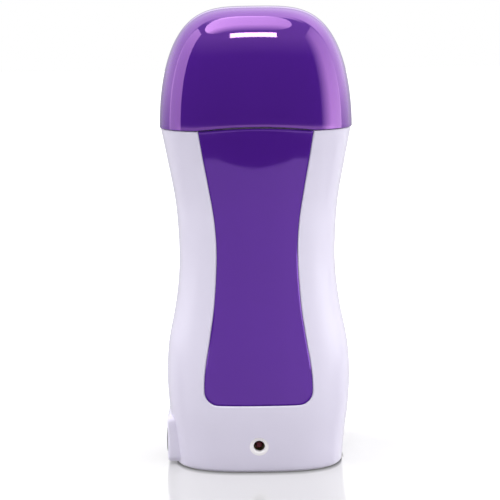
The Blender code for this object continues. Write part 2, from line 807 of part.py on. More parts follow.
def front_shell():
    shell = case_half("front_shell", True)
    recess_floor = WINDOW_RECESS + WINDOW_SKIN + STACK_GAP
    recess = window_panel("window_recess", FIT_GAP, -OVERRUN, recess_floor, OVERRUN)
    opening = window_panel("window_opening", -WINDOW_LEDGE, 0.0, SHELL_WALL + OVERRUN / 2, -WINDOW_LEDGE)
    cut(shell, recess, opening)
    y = led_axis_y()
    hole_end = (0.0, y + SHELL_WALL + OVERRUN, LED_HEIGHT)
    cut(shell, rod("led_hole", (0.0, y - OVERRUN, LED_HEIGHT), hole_end, LED_HOLE_RADIUS))
    flare = (LED_SINK_RADIUS - LED_HOLE_RADIUS) / LED_SINK_DEPTH
    wide = LED_SINK_RADIUS + flare * LED_SINK_DEPTH
    sink_start = (0.0, y - LED_SINK_DEPTH, LED_HEIGHT)
    sink_end = (0.0, y + LED_SINK_DEPTH, LED_HEIGHT)
    cut(shell, rod("led_sink", sink_start, sink_end, wide, LED_HOLE_RADIUS))
    for side, sign in sides():
        start = (sign * LOWER_SCREW_X, OVERRUN, LOWER_SCREW_Z)
        end = (sign * LOWER_SCREW_X, -LOWER_SCREW_REACH - FIT_GAP, LOWER_SCREW_Z)
        cut(shell, rod(f"lower_pilot_{side}", start, end, SCREW_PILOT_RADIUS, sides=SCREW_STEPS))
        post_end = board_front_y() - STACK_GAP
        start = (sign * BOARD_POST_X, post_end + OVERRUN, LED_HEIGHT)
        end = (sign * BOARD_POST_X, post_end - BOARD_SCREW_LENGTH, LED_HEIGHT)
        cut(shell, rod(f"post_pilot_{side}", start, end, BOARD_PILOT_RADIUS, sides=SCREW_STEPS))
    return add_piece(shell, WHITE)


def rear_shell():
    shell = case_half("rear_shell", False)
    back = RIM_HALF_DEPTH + OVERRUN
    for side, sign in sides():
        for level, x, z, seat in (
            ("lower", sign * LOWER_SCREW_X, LOWER_SCREW_Z, LOWER_SEAT_DEPTH),
            ("upper", sign * UPPER_SCREW_X, UPPER_SCREW_Z, upper_boss_end() + FIT_GAP + SCREW_SEAT),
        ):
            outer, inner = (x, back, z), (x, -OVERRUN, z)
            bore = rod(f"{level}_head_bore_{side}", outer, (x, seat, z), SCREW_BORE_RADIUS)
            clear = rod(f"{level}_clear_{side}", outer, inner, SCREW_CLEAR_RADIUS, sides=SCREW_STEPS)
            cut(shell, bore, clear)
    return add_piece(shell, WHITE)


def front_window():
    window = window_panel("front_window", 0.0, WINDOW_RECESS, WINDOW_RECESS + WINDOW_SKIN, 0.0)
    plug_out = WINDOW_RECESS + WINDOW_SKIN / 2
    plug_in = WINDOW_RECESS + WINDOW_SKIN + WINDOW_PLUG
    shrink = -WINDOW_LEDGE - FIT_GAP
    join(window, window_panel("window_plug", shrink, plug_out, plug_in, shrink))
    return add_piece(window, PURPLE_WINDOW)


def lid():
    cap = lid_rings("lid", 0.0, LID_BOTTOM, LID_EDGE_FILLET)
    cut(cap, lid_rings("lid_hollow", LID_WALL, LID_BOTTOM - LID_SPRING_DROP / 2))
    arch = [(-ARCH_HALF_CHORD, LID_BOTTOM - OVERRUN), (ARCH_HALF_CHORD, LID_BOTTOM - OVERRUN)]
    steps = 2 * CORNER_STEPS
    for k in range(steps + 1):
        share = 1 - 2 * k / steps
        arch.append((ARCH_HALF_CHORD * share, LID_BOTTOM + ARCH_RISE * (1 - share**2)))
    cut(cap, face_outline("lid_arch", arch, -LID_HALF_DEPTH - OVERRUN, -RIM_HALF_DEPTH / 2))
    return add_piece(cap, PURPLE_LID)


# Cartridge bay

def top_collar():
    """The neck the lid grips, with a flange inside the case's rim and a skirt round the cartridge's mouth."""
    share = lid_inner_share(NECK_TOP)
    neck_width = (LID_HALF_WIDTH - LID_WALL) * share - LID_CLEARANCE
    neck_depth = (LID_HALF_DEPTH - LID_WALL) * share - LID_CLEARANCE
    inset = SHELL_WALL + FIT_GAP
    levels = [BODY_HEIGHT - COLLAR_SKIRT_DEPTH * (1 - k / COLLAR_LEVELS) for k in range(COLLAR_LEVELS + 1)]
    neck = superellipse(neck_width, neck_depth, neck_depth)
    neck_edge = superellipse(*(size - LID_EDGE_FILLET for size in (neck_width, neck_depth, neck_depth)))
    outside = [(case_ring(z, inset), z) for z in levels]
    outside += [(case_ring(BODY_HEIGHT, inset), LID_BOTTOM), (neck, LID_BOTTOM)]
    outside += [(neck, NECK_TOP - LID_EDGE_FILLET), (neck_edge, NECK_TOP)]
    collar = loft("top_collar", outside)
    wall = inset + COLLAR_WALL
    ceiling = NECK_TOP - DECK_THICKNESS
    low = BODY_HEIGHT - COLLAR_SKIRT_DEPTH - OVERRUN
    inside = [(case_ring(z, wall), z) for z in (low, *levels)]
    inside.append((case_ring(BODY_HEIGHT, wall), ceiling))
    hollow = loft("collar_hollow", inside)
    cut(
        hollow,
        prism(
            "collar_skirt",
            CHAMBER_HALF_WIDTH,
            CHAMBER_HALF_DEPTH,
            CHAMBER_Y,
            CHAMBER_TOP + FIT_GAP,
            NECK_TOP + OVERRUN,
        ),
    )
    cut(collar, hollow)
    bay_low = BODY_HEIGHT - COLLAR_SKIRT_DEPTH - OVERRUN
    cut(collar, prism("collar_bay", BAY_HALF_WIDTH, BAY_HALF_DEPTH, CHAMBER_Y, bay_low, NECK_TOP + OVERRUN))
    return add_piece(collar, NATURAL)


def bay_cutter(name):
    low = CHAMBER_BOTTOM + CHAMBER_FLOOR
    return prism(name, BAY_HALF_WIDTH, BAY_HALF_DEPTH, CHAMBER_Y, low, CHAMBER_TOP + OVERRUN)


def cartridge_chamber():
    chamber = prism(
        "cartridge_chamber", CHAMBER_HALF_WIDTH, CHAMBER_HALF_DEPTH, CHAMBER_Y, CHAMBER_BOTTOM, CHAMBER_TOP
    )
    root = CHAMBER_BACK - CHAMBER_WALL - CHAMBER_WALL
    for level, z in (("lower", CLAMP_LOWER_Z), ("upper", CLAMP_UPPER_Z)):
        end = (0.0, CLAMP_Y - STACK_GAP, z)
        join(chamber, rod(f"clamp_boss_{level}", (0.0, root, z), end, CLAMP_BOSS_RADIUS))
    for side, sign in sides():
        x = sign * UPPER_SCREW_X
        start, end = (x, root - CHAMBER_WALL, UPPER_SCREW_Z), (x, upper_boss_end(), UPPER_SCREW_Z)
        join(chamber, rod(f"upper_boss_{side}", start, end, UPPER_BOSS_RADIUS))
    cut(chamber, bay_cutter("chamber_bay"))
    slot_low, slot_high = CHAMBER_BOTTOM + SLOT_END_MARGIN, CHAMBER_TOP - SLOT_END_MARGIN
    slot = rounded_rectangle(-SLOT_HALF_WIDTH, SLOT_HALF_WIDTH, slot_low, slot_high, SLOT_CORNER)
    slot_front = CHAMBER_Y - CHAMBER_HALF_DEPTH - OVERRUN
    cut(chamber, face_outline("viewing_slot", slot, slot_front, CHAMBER_Y - BAY_HALF_DEPTH / 2))
    grown = PLATE_HALF_WIDTH + FIT_GAP
    low = (-grown, CHAMBER_Y + BAY_HALF_DEPTH / 2, PLATE_BOTTOM - FIT_GAP)
    cut(chamber, box("plate_window", low, (grown, CHAMBER_BACK + OVERRUN, PLATE_TOP + FIT_GAP)))
    for level, z in (("lower", CLAMP_LOWER_Z), ("upper", CLAMP_UPPER_Z)):
        start, end = (0.0, CLAMP_Y + OVERRUN, z), (0.0, CHAMBER_BACK, z)
        cut(chamber, rod(f"clamp_pilot_{level}", start, end, CLAMP_HOLE_RADIUS, sides=SCREW_STEPS))
    for side, sign in sides():
        x = sign * UPPER_SCREW_X
        start = (x, upper_boss_end() + OVERRUN, UPPER_SCREW_Z)
        end = (x, upper_boss_end() - UPPER_SCREW_LENGTH + SCREW_SEAT, UPPER_SCREW_Z)
        cut(chamber, rod(f"upper_pilot_{side}", start, end, SCREW_PILOT_RADIUS, sides=SCREW_STEPS))
    return add_piece(chamber, NATURAL)


# Heater

def heat_plate():
    """A block that closes the chamber's rear window: curved like the bay inside, flat behind."""
    front = CHAMBER_Y + BAY_HALF_DEPTH / 2 + FIT_GAP
    low, high = (-PLATE_HALF_WIDTH, front, PLATE_BOTTOM), (PLATE_HALF_WIDTH, PLATE_BACK, PLATE_TOP)
    plate = box("heat_plate", low, high)
    cut(plate, bay_cutter("plate_bay"))
    return add_piece(plate, ALUMINIUM)


def heater_film(name, y):
    low = (-FILM_HALF_WIDTH, y, PLATE_BOTTOM - FILM_MARGIN)
    high = (FILM_HALF_WIDTH, y + FILM_THICKNESS, PLATE_TOP + FILM_MARGIN)
    return add_piece(box(name, low, high), FILM)


def heater_electrode(name, y, tab_up):
    """A contact sheet with one solder tab, at the top left or at the bottom right."""
    low, high = PLATE_BOTTOM + ELECTRODE_MARGIN, PLATE_TOP - ELECTRODE_MARGIN
    w = ELECTRODE_HALF_WIDTH
    if tab_up:
        tip = high + TAB_LENGTH
        points = [(-w, low), (w, low), (w, high), (TAB_WIDTH - w, high), (TAB_WIDTH - w, tip), (-w, tip)]
    else:
        tip = low - TAB_LENGTH
        points = [(w, high), (-w, high), (-w, low), (w - TAB_WIDTH, low), (w - TAB_WIDTH, tip), (w, tip)]
    return add_piece(face_outline(name, points, y, y + ELECTRODE_THICKNESS), BRASS)


def ptc_chips():
    low, high = PLATE_BOTTOM + CHIP_MARGIN, PLATE_TOP - CHIP_MARGIN
    middle = (low + high) / 2
    bevel = CHIP_THICKNESS / 8
    back = CHIP_Y + CHIP_THICKNESS
    for name, start, end in (
        ("ptc_chip_lower", low, middle - CHIP_GAP / 2),
        ("ptc_chip_upper", middle + CHIP_GAP / 2, high),
    ):
        add_piece(box(name, (-CHIP_HALF_WIDTH, CHIP_Y, start), (CHIP_HALF_WIDTH, back, end), bevel), CERAMIC)


def clamp():
    low = CLAMP_LOWER_Z - CLAMP_END
    high = CLAMP_UPPER_Z + CLAMP_END
    outline = rounded_rectangle(-CLAMP_HALF_WIDTH, CLAMP_HALF_WIDTH, low, high, CLAMP_END / 2)
    plate = face_outline("clamp_plate", outline, CLAMP_Y, CLAMP_BACK)
    for level, z in (("lower", CLAMP_LOWER_Z), ("upper", CLAMP_UPPER_Z)):
        start, end = (0.0, CLAMP_Y - OVERRUN, z), (0.0, CLAMP_BACK + OVERRUN, z)
        cut(plate, rod(f"clamp_hole_{level}", start, end, CLAMP_HOLE_RADIUS))
        seat = (0.0, CLAMP_BACK + STACK_GAP, z)
        screw = pan_screw(
            f"clamp_screw_{level}",
            seat,
            (0, -1, 0),
            CLAMP_SCREW_RADIUS,
            CLAMP_SCREW_LENGTH,
            CLAMP_HEAD_RADIUS,
            CLAMP_HEAD_HEIGHT,
        )
        add_piece(screw, STEEL)
    add_piece(plate, STEEL)


def thermostat():
    width, depth, height = THERMOSTAT_SIZE
    z = PLATE_BOTTOM + THERMOSTAT_RISE
    low = (THERMOSTAT_X - width / 2, PLATE_BACK + STACK_GAP, z)
    high = (THERMOSTAT_X + width / 2, PLATE_BACK + STACK_GAP + depth, z + height)
    return add_piece(box("thermostat", low, high, depth / 6), BLACK)


def fuse_y():
    return PLATE_BACK + STACK_GAP + FUSE_RADIUS


def thermal_fuse():
    """An axial fuse with its leads, stood upright."""
    low = PLATE_BOTTOM + FUSE_RISE
    high = low + FUSE_LENGTH
    taper = FUSE_RADIUS / 2
    lower_end = (low - FUSE_LEAD, low - taper / 2, low, low + taper)
    upper_end = (high - taper, high, high + taper / 2, high + FUSE_LEAD)
    thin, thick = FUSE_LEAD_RADIUS, FUSE_RADIUS
    shoulder = FUSE_END_SHARE * thick
    radii = [thin, thin, shoulder, thick, thick, shoulder, thin, thin]
    route = [(FUSE_X, fuse_y(), z) for z in (*lower_end, *upper_end)]
    return add_piece(tube("thermal_fuse", route, radii), FUSE_COAT)


# Indicator light

def indicator_led():
    """A domed 3 mm light, its flange on the board and its tip towards -Y."""
    dome = [
        (LED_RADIUS * math.sin(a), LED_LENGTH - LED_RADIUS * (1 - math.cos(a)))
        for a in (math.pi / 2 * k / CORNER_STEPS for k in range(CORNER_STEPS + 1))
    ]
    flange = [(LED_FLANGE_RADIUS, LED_FLANGE), (LED_FLANGE_RADIUS, 0.0)]
    profile = [*dome, (LED_RADIUS, LED_FLANGE), *flange, (0.0, 0.0)]
    seat = (0.0, board_front_y() - STACK_GAP, LED_HEIGHT)
    return add_piece(turned("indicator_led", profile, seat, (0, -1, 0)), LED_RED)


def led_board():
    y = board_front_y()
    low = (-BOARD_HALF_WIDTH, y, LED_HEIGHT - BOARD_HALF_HEIGHT)
    board = box("led_board", low, (BOARD_HALF_WIDTH, y + BOARD_THICKNESS, LED_HEIGHT + BOARD_HALF_HEIGHT))
    for side, sign in sides():
        x = sign * BOARD_POST_X
        start, end = (x, y - OVERRUN, LED_HEIGHT), (x, y + OVERRUN, LED_HEIGHT)
        cut(board, rod(f"board_hole_{side}", start, end, BOARD_PILOT_RADIUS, sides=SCREW_STEPS))
        screw = pan_screw(
            f"board_screw_{side}",
            (x, y + BOARD_THICKNESS + STACK_GAP, LED_HEIGHT),
            (0, -1, 0),
            BOARD_SCREW_RADIUS,
            BOARD_SCREW_LENGTH,
            BOARD_HEAD_RADIUS,
            BOARD_HEAD_HEIGHT,
        )
        add_piece(screw, STEEL)
    return add_piece(board, BOARD)


def board_component(name, z, body_radius, body_length, material):
    """An axial component on the board's rear face, its leads bent down to the board."""
    face = board_front_y() + BOARD_THICKNESS + STACK_GAP
    lift = face + COMPONENT_LIFT
    half = body_length / 2
    end = COMPONENT_SPAN
    thin = COMPONENT_LEAD_RADIUS
    bend = (end - half) / 2
    route = [
        (-end, face, z),
        (-end, lift - bend, z),
        (-end + bend, lift, z),
        (-half - thin, lift, z),
        (-half, lift, z),
        (half, lift, z),
        (half + thin, lift, z),
        (end - bend, lift, z),
        (end, lift - bend, z),
        (end, face, z),
    ]
    radii = [thin, thin, thin, thin, body_radius, body_radius, thin, thin, thin, thin]
    return add_piece(tube(name, route, radii), material)


# Mains inlet

def figure_eight():
    """The mouth's outline: a lobe round each pin and a straight waist between them."""
    turn = math.pi - math.asin(LOBE_WAIST / LOBE_RADIUS)
    steps = 3 * CORNER_STEPS
    points = []
    for sign in (1, -1):
        for k in range(steps + 1):
            angle = -turn + 2 * turn * k / steps
            y = sign * (PIN_SPACING / 2 + LOBE_RADIUS * math.cos(angle))
            points.append((y, INLET_HEIGHT + sign * LOBE_RADIUS * math.sin(angle)))
    return points


def inlet_socket():
    face = PAD_X - INLET_PROUD
    back = face + INLET_LENGTH
    socket = side_outline("inlet_socket", inlet_outline(), face, back)
    flange_from = PAD_X + SHELL_WALL + FIT_GAP
    flange_to = flange_from + INLET_FLANGE_THICKNESS
    join(socket, side_outline("inlet_flange", inlet_outline(INLET_FLANGE), flange_from, flange_to))
    cut(socket, side_outline("inlet_mouth", figure_eight(), face - OVERRUN, back - INLET_FLOOR))
    for name, sign in (("inlet_pin_front", -1), ("inlet_pin_rear", 1)):
        y = sign * PIN_SPACING / 2
        start, end = (face, y, INLET_HEIGHT), (back + OVERRUN, y, INLET_HEIGHT)
        cut(socket, rod(f"{name}_hole", start, end, PIN_RADIUS + STACK_GAP, sides=SCREW_STEPS))
        tip = PIN_RADIUS / 2
        length = INLET_LENGTH - PIN_SETBACK + PIN_TAIL
        profile = (
            (0.0, length),
            (PIN_RADIUS - tip, length),
            (PIN_RADIUS, length - tip),
            (PIN_RADIUS, PIN_TAIL - INLET_FLOOR),
            (PIN_TAIL_SHARE * PIN_RADIUS, 0.0),
            (0.0, 0.0),
        )
        add_piece(turned(name, profile, (back + PIN_TAIL, y, INLET_HEIGHT), (-1, 0, 0)), BRASS)
    return add_piece(socket, BLACK)


# Screws

def case_screws():
    for side, sign in sides():
        lower = pan_screw(
            f"case_screw_lower_{side}",
            (sign * LOWER_SCREW_X, LOWER_SEAT_DEPTH + STACK_GAP, LOWER_SCREW_Z),
            (0, -1, 0),
            SCREW_RADIUS,
            LOWER_SEAT_DEPTH + LOWER_SCREW_REACH,
            SCREW_HEAD_RADIUS,
            SCREW_HEAD_HEIGHT,
        )
        add_piece(lower, STEEL)
        seat = upper_boss_end() + FIT_GAP + SCREW_SEAT + STACK_GAP
        upper = pan_screw(
            f"case_screw_upper_{side}",
            (sign * UPPER_SCREW_X, seat, UPPER_SCREW_Z),
            (0, -1, 0),
            SCREW_RADIUS,
            UPPER_SCREW_LENGTH,
            SCREW_HEAD_RADIUS,
            SCREW_HEAD_HEIGHT,
        )
        add_piece(upper, STEEL)


# Wires

def foot_place(shares):
    """A place in the hollow foot, from shares of its half width, rear depth and height."""
    sizes = (WAIST_HALF_WIDTH, REAR_WAIST_DEPTH, CHAMBER_BOTTOM)
    return tuple(share * size for share, size in zip(shares, sizes))


def pin_tail_x():
    return PAD_X - INLET_PROUD + INLET_LENGTH + PIN_TAIL


def live_route():
    """From the front pin, up behind the heat plate, to the thermostat."""
    start, pin_y = pin_tail_x() + FIT_GAP, -PIN_SPACING / 2
    lead = THERMOSTAT_X + THERMOSTAT_LEAD_SPREAD
    top = PLATE_BOTTOM + THERMOSTAT_RISE - FIT_GAP
    return [
        (start, pin_y, INLET_HEIGHT),
        (start + WIRE_RUN, pin_y, INLET_HEIGHT),
        foot_place(LIVE_LOW_SHARES),
        foot_place(LIVE_HIGH_SHARES),
        (lead, fuse_y() - WIRE_EASE / 2, CHAMBER_BOTTOM - WIRE_HOP),
        (lead, fuse_y() + WIRE_EASE, (CHAMBER_BOTTOM + top) / 2),
        (lead, fuse_y(), top - WIRE_RUN),
        (lead, fuse_y(), top),
    ]


def neutral_route():
    """From the rear pin, up behind the heat plate, to the fuse's lower lead."""
    start, pin_y = pin_tail_x() + FIT_GAP, PIN_SPACING / 2
    top = PLATE_BOTTOM + FUSE_RISE - FUSE_LEAD - FIT_GAP
    return [
        (start, pin_y, INLET_HEIGHT),
        (start + WIRE_SHORT_RUN, pin_y + WIRE_EASE / 2, INLET_HEIGHT + WIRE_EASE / 2),
        foot_place(NEUTRAL_SHARES),
        (FUSE_X + WIRE_EASE, fuse_y(), CHAMBER_BOTTOM - WIRE_SHORT_RUN),
        (FUSE_X, fuse_y() + WIRE_EASE, (CHAMBER_BOTTOM + top) / 2),
        (FUSE_X, fuse_y(), top - WIRE_RUN),
        (FUSE_X, fuse_y(), top),
    ]


def thermostat_route():
    """From the thermostat down to the rear electrode's tab."""
    lead = THERMOSTAT_X - THERMOSTAT_LEAD_SPREAD
    start = PLATE_BOTTOM + THERMOSTAT_RISE - FIT_GAP
    tab_x, tab_y = ELECTRODE_HALF_WIDTH - TAB_WIDTH / 2, ELECTRODE_REAR_Y + ELECTRODE_THICKNESS / 2
    tab_z = PLATE_BOTTOM + ELECTRODE_MARGIN - TAB_LENGTH - FIT_GAP
    return [
        (lead, fuse_y(), start),
        (lead, fuse_y(), start - WIRE_SHORT_RUN),
        (lead - WIRE_EASE, fuse_y() + WIRE_EASE / 2, tab_z - WIRE_SHORT_RUN),
        (tab_x + WIRE_HOP, tab_y, tab_z - WIRE_RUN - WIRE_EASE),
        (tab_x, tab_y, tab_z - WIRE_SHORT_RUN),
        (tab_x, tab_y, tab_z),
    ]


def fuse_route():
    """From the fuse's upper lead to the front electrode's tab."""
    start = PLATE_BOTTOM + FUSE_RISE + FUSE_LENGTH + FUSE_LEAD + FIT_GAP
    tab_x, tab_y = TAB_WIDTH / 2 - ELECTRODE_HALF_WIDTH, ELECTRODE_FRONT_Y + ELECTRODE_THICKNESS / 2
    tab_z = PLATE_TOP - ELECTRODE_MARGIN + TAB_LENGTH + FIT_GAP
    return [
        (FUSE_X, fuse_y(), start),
        (FUSE_X, fuse_y(), start + WIRE_RUN),
        (FUSE_X + WIRE_HOP, fuse_y(), tab_z + WIRE_EASE),
        (tab_x - WIRE_HOP, tab_y + WIRE_EASE, tab_z + WIRE_RUN),
        (tab_x, tab_y, tab_z + WIRE_SHORT_RUN),
        (tab_x, tab_y, tab_z),
    ]


def led_routes():
    """From the two pins' tails to the light's board, its live wire above its neutral one."""
    board_face = board_front_y() + BOARD_THICKNESS + FIT_GAP
    pad_x = COMPONENT_OFFSET - BOARD_POST_X
    tail_x, tail_z = pin_tail_x() - WIRE_EASE, INLET_HEIGHT + PIN_RADIUS + FIT_GAP
    live = [
        (tail_x, -PIN_SPACING / 2, tail_z),
        (tail_x, -PIN_SPACING / 2, tail_z + WIRE_HOP / 2),
        foot_place(LED_LIVE_SHARES),
        (pad_x - WIRE_HOP, board_face + WIRE_RUN - WIRE_EASE, LED_HEIGHT + WIRE_HOP),
        (pad_x, board_face + WIRE_HOP, LED_HEIGHT + WIRE_EASE),
        (pad_x, board_face, LED_HEIGHT + WIRE_EASE),
    ]
    neutral = [
        (tail_x, PIN_SPACING / 2, tail_z),
        (tail_x, PIN_SPACING / 2, tail_z + WIRE_HOP / 2),
        foot_place(LED_NEUTRAL_SHARES),
        (pad_x - WIRE_EASE, board_face + WIRE_RUN, LED_HEIGHT + WIRE_EASE),
        (pad_x, board_face + WIRE_SHORT_RUN, LED_HEIGHT - WIRE_EASE),
        (pad_x, board_face, LED_HEIGHT - WIRE_EASE),
    ]
    return live, neutral


def wires():
    led_live, led_neutral = led_routes()
    for name, route, radius, material in (
        ("live_wire", live_route(), WIRE_RADIUS, WIRE_BROWN),
        ("neutral_wire", neutral_route(), WIRE_RADIUS, WIRE_BLUE),
        ("thermostat_wire", thermostat_route(), WIRE_RADIUS, WIRE_BROWN),
        ("fuse_wire", fuse_route(), WIRE_RADIUS, WIRE_BLUE),
        ("led_wire_live", led_live, LED_WIRE_RADIUS, WIRE_RED),
        ("led_wire_neutral", led_neutral, LED_WIRE_RADIUS, WIRE_BLUE),
    ):
        add_piece(tube(name, smooth_route(route), radius), material)


def build():
    lid()
    front_shell()
    rear_shell()
    front_window()
    top_collar()
    cartridge_chamber()
    heat_plate()
    heater_film("heater_film_front", FILM_FRONT_Y)
    heater_film("heater_film_rear", FILM_REAR_Y)
    heater_electrode("heater_electrode_front", ELECTRODE_FRONT_Y, True)
    heater_electrode("heater_electrode_rear", ELECTRODE_REAR_Y, False)
    ptc_chips()
    clamp()
    thermostat()
    thermal_fuse()
    led_board()
    indicator_led()
    resistor_z, diode_z = LED_HEIGHT + COMPONENT_OFFSET, LED_HEIGHT - COMPONENT_OFFSET
    board_component("led_resistor", resistor_z, RESISTOR_RADIUS, RESISTOR_LENGTH, RESISTOR_COAT)
    board_component("led_diode", diode_z, DIODE_RADIUS, DIODE_LENGTH, BLACK)
    inlet_socket()
    case_screws()
    wires()


build()
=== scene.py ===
import json
import math

import bmesh
import bpy
from mathutils import Matrix, Vector

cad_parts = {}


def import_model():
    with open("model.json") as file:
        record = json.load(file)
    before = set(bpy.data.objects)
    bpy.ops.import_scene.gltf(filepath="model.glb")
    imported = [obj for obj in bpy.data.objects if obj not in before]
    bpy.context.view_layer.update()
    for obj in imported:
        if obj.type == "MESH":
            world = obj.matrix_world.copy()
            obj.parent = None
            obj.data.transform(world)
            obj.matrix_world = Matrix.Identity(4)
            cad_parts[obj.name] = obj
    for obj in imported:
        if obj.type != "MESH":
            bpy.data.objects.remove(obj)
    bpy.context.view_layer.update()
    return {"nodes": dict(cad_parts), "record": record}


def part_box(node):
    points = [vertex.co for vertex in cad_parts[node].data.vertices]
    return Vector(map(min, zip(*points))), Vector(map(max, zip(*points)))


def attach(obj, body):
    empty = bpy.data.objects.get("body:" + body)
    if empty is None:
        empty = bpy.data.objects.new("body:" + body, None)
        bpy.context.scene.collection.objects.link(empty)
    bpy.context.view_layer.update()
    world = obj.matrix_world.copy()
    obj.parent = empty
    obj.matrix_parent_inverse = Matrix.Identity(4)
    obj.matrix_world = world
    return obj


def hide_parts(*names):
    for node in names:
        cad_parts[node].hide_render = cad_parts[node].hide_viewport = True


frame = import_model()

# Looks of the roll-on wax warmer. Metres, +Z up, front towards -Y, mains inlet towards -X.
# The outside repeats the construction's own formulas at a finer step, so every piece sits where its node is.

# Places read from the frame
BODY_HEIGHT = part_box("front_shell")[1].z
LID_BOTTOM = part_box("lid")[0].z
NECK_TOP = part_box("top_collar")[1].z
COLLAR_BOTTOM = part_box("top_collar")[0].z
CHAMBER_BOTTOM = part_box("cartridge_chamber")[0].z
CHAMBER_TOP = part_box("cartridge_chamber")[1].z
PLATE_LOW, PLATE_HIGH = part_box("heat_plate")
SOCKET_LOW, SOCKET_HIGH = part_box("inlet_socket")
LED_LOW, LED_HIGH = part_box("indicator_led")
LED_HEIGHT = (LED_LOW.z + LED_HIGH.z) / 2

# Case section and profile
SECTION_POWER = 2.8
WAIST_HALF_WIDTH = 0.032
FRONT_WAIST_DEPTH = 0.0230
REAR_WAIST_DEPTH = 0.0266
BODY_FLARE = 0.0065
FRONT_TAPER = 0.004
REAR_TAPER = 0.002
BASE_FILLET = 0.0012
RIM_FILLET = 0.0003
RIM_RISE = 0.0001
SHELL_WALL = 0.0022
SHELL_FLOOR = 0.0025
SEAM_GAP = 0.0002
# Height share, then the shares of the side flare, front taper and rear taper added to the waist there.
STATION_SHARES = (
    (0.00, 0.42, -0.10, -1.00),
    (0.04, 0.49, 0.05, -0.80),
    (0.10, 0.61, 0.25, -0.45),
    (0.17, 0.81, 0.41, -0.15),
    (0.26, 0.92, 0.48, 0.15),
    (0.36, 0.79, 0.38, 0.20),
    (0.47, 0.33, 0.15, 0.10),
    (0.55, 0.09, 0.03, 0.03),
    (0.62, 0.00, 0.00, 0.00),
    (0.72, 0.06, 0.01, 0.00),
    (0.80, 0.22, 0.08, 0.04),
    (0.90, 0.60, 0.42, 0.13),
    (1.00, 1.00, 1.00, 0.20),
)
RIM_HALF_WIDTH = WAIST_HALF_WIDTH + BODY_FLARE
RIM_HALF_DEPTH = REAR_WAIST_DEPTH + REAR_TAPER * STATION_SHARES[-1][3]
SCREWS = (
    "case_screw_lower_left",
    "case_screw_lower_right",
    "case_screw_upper_left",
    "case_screw_upper_right",
)

# Front window
WINDOW_BOTTOM = 0.0287
WINDOW_WAIST_WIDTH = 0.0324
WINDOW_FLARE = 0.006
WINDOW_CORNER = 0.0055
WINDOW_RECESS = 0.00015
WINDOW_SKIN = 0.0011
WINDOW_LEDGE = 0.0021
WINDOW_GAP = 0.0001
WINDOW_LIP = 0.0004
WINDOW_LIP_DEPTH = 0.0004
WINDOW_MOUTH_OVERRUN = 0.001
WINDOW_EDGE = 0.0006
WINDOW_EDGE_DEPTH = 0.00024
WINDOW_EDGE_EASE_SHARE = 0.12
WINDOW_FLOOR = 0.0014
# Height share, then the share of the side flare added to the window's waist there.
WINDOW_SHARES = (
    (0.20, 0.90),
    (0.26, 0.96),
    (0.32, 0.84),
    (0.40, 0.53),
    (0.50, 0.20),
    (0.64, 0.00),
    (0.74, 0.11),
    (0.84, 0.47),
    (0.92, 0.79),
    (1.00, 1.08),
)

# Lid
LID_HALF_WIDTH = 0.039
LID_HALF_DEPTH = 0.0275
LID_HEIGHT = 0.048
LID_TOP = LID_BOTTOM + LID_HEIGHT
LID_SPRING = 0.1372
LID_SIDE_POWER = 3.7
LID_CROWN_POWER = 2.2
LID_WALL = 0.002
LID_EDGE = 0.00025
LID_INNER_EDGE = 0.0003
ARCH_HALF_CHORD = 0.02348
ARCH_RISE = 0.0016
ARCH_WINDOW_GAP = 0.0003
ARCH_REACH = 0.014
ARCH_EASE_POWER = 4

# Collar and chamber
COLLAR_WALL = 0.0016
FIT_GAP = 0.0003
LID_CLEARANCE = 0.00045
DECK_THICKNESS = 0.0018
BAY_HALF_WIDTH = 0.027
BAY_HALF_DEPTH = 0.0168
BAY_Y = -0.0015
CHAMBER_WALL = 0.0014
CHAMBER_FLOOR = 0.0015
MOUTH_FILLET = 0.0005
NECK_FILLET = 0.0007
SLOT_HALF_WIDTH = 0.012
SLOT_MARGIN = 0.009
SLOT_CORNER = 0.004

# Pad, inlet and indicator hole
PAD_X = -0.038
PAD_HALF_DEPTH = 0.0122
PAD_BOTTOM = 0.0011
PAD_TOP = 0.0209
PAD_CORNER = 0.003
PAD_EDGE = 0.0014
INLET_HEIGHT = 0.0092
INLET_HALF_DEPTH = 0.0093
INLET_HALF_HEIGHT = 0.0055
INLET_CORNER = 0.005
INLET_EDGE = 0.0004
INLET_FLOOR = 0.0015
LOBE_RADIUS = 0.0039
LOBE_WAIST = 0.0029
PIN_SPACING = 0.0086
PIN_RADIUS = 0.00118
PIN_TAIL_SHARE = 0.8
PIN_TAPER_SHARE = 1 / 3
PIN_TIP_SHARE = 0.5
LED_LENS_RADIUS = 0.0015
LED_FLANGE = 0.001
LED_HOLE_RADIUS = 0.0023
LED_SINK_RADIUS = 0.0035
LED_SINK_DEPTH = 0.0005
# Reach and soft edge of the painted highlight round the indicator hole
LED_HIGHLIGHT_RADIUS = 0.0038
LED_HIGHLIGHT_BLEND = 0.0002

# Screws at the back
SCREW_HEAD_RADIUS = 0.0027
SCREW_HEAD_HEIGHT = 0.0018
SCREW_SHANK_RADIUS = 0.0014
SCREW_BORE_RADIUS = 0.0031
SCREW_CLEAR_RADIUS = 0.0017
SCREW_BOSS_RADIUS = 0.004
SCREW_SEAT = 0.0017
SCREW_LIP = 0.0004
SCREW_LIP_EASE_SHARE = 1 / 3
SCREW_POINT_SHARE = 0.5
SCREW_CROWN_SHARE = 0.5
SCREW_SLOT_LENGTH_SHARE = 0.6
SCREW_SLOT_WIDTH_SHARE = 0.14
SCREW_SLOT_DEPTH_SHARE = 0.7

# How far cutters reach past what they cut, and how near two points count as one
OVERRUN = 0.004
WELD = 0.0000015
SLIVER = 0.000001

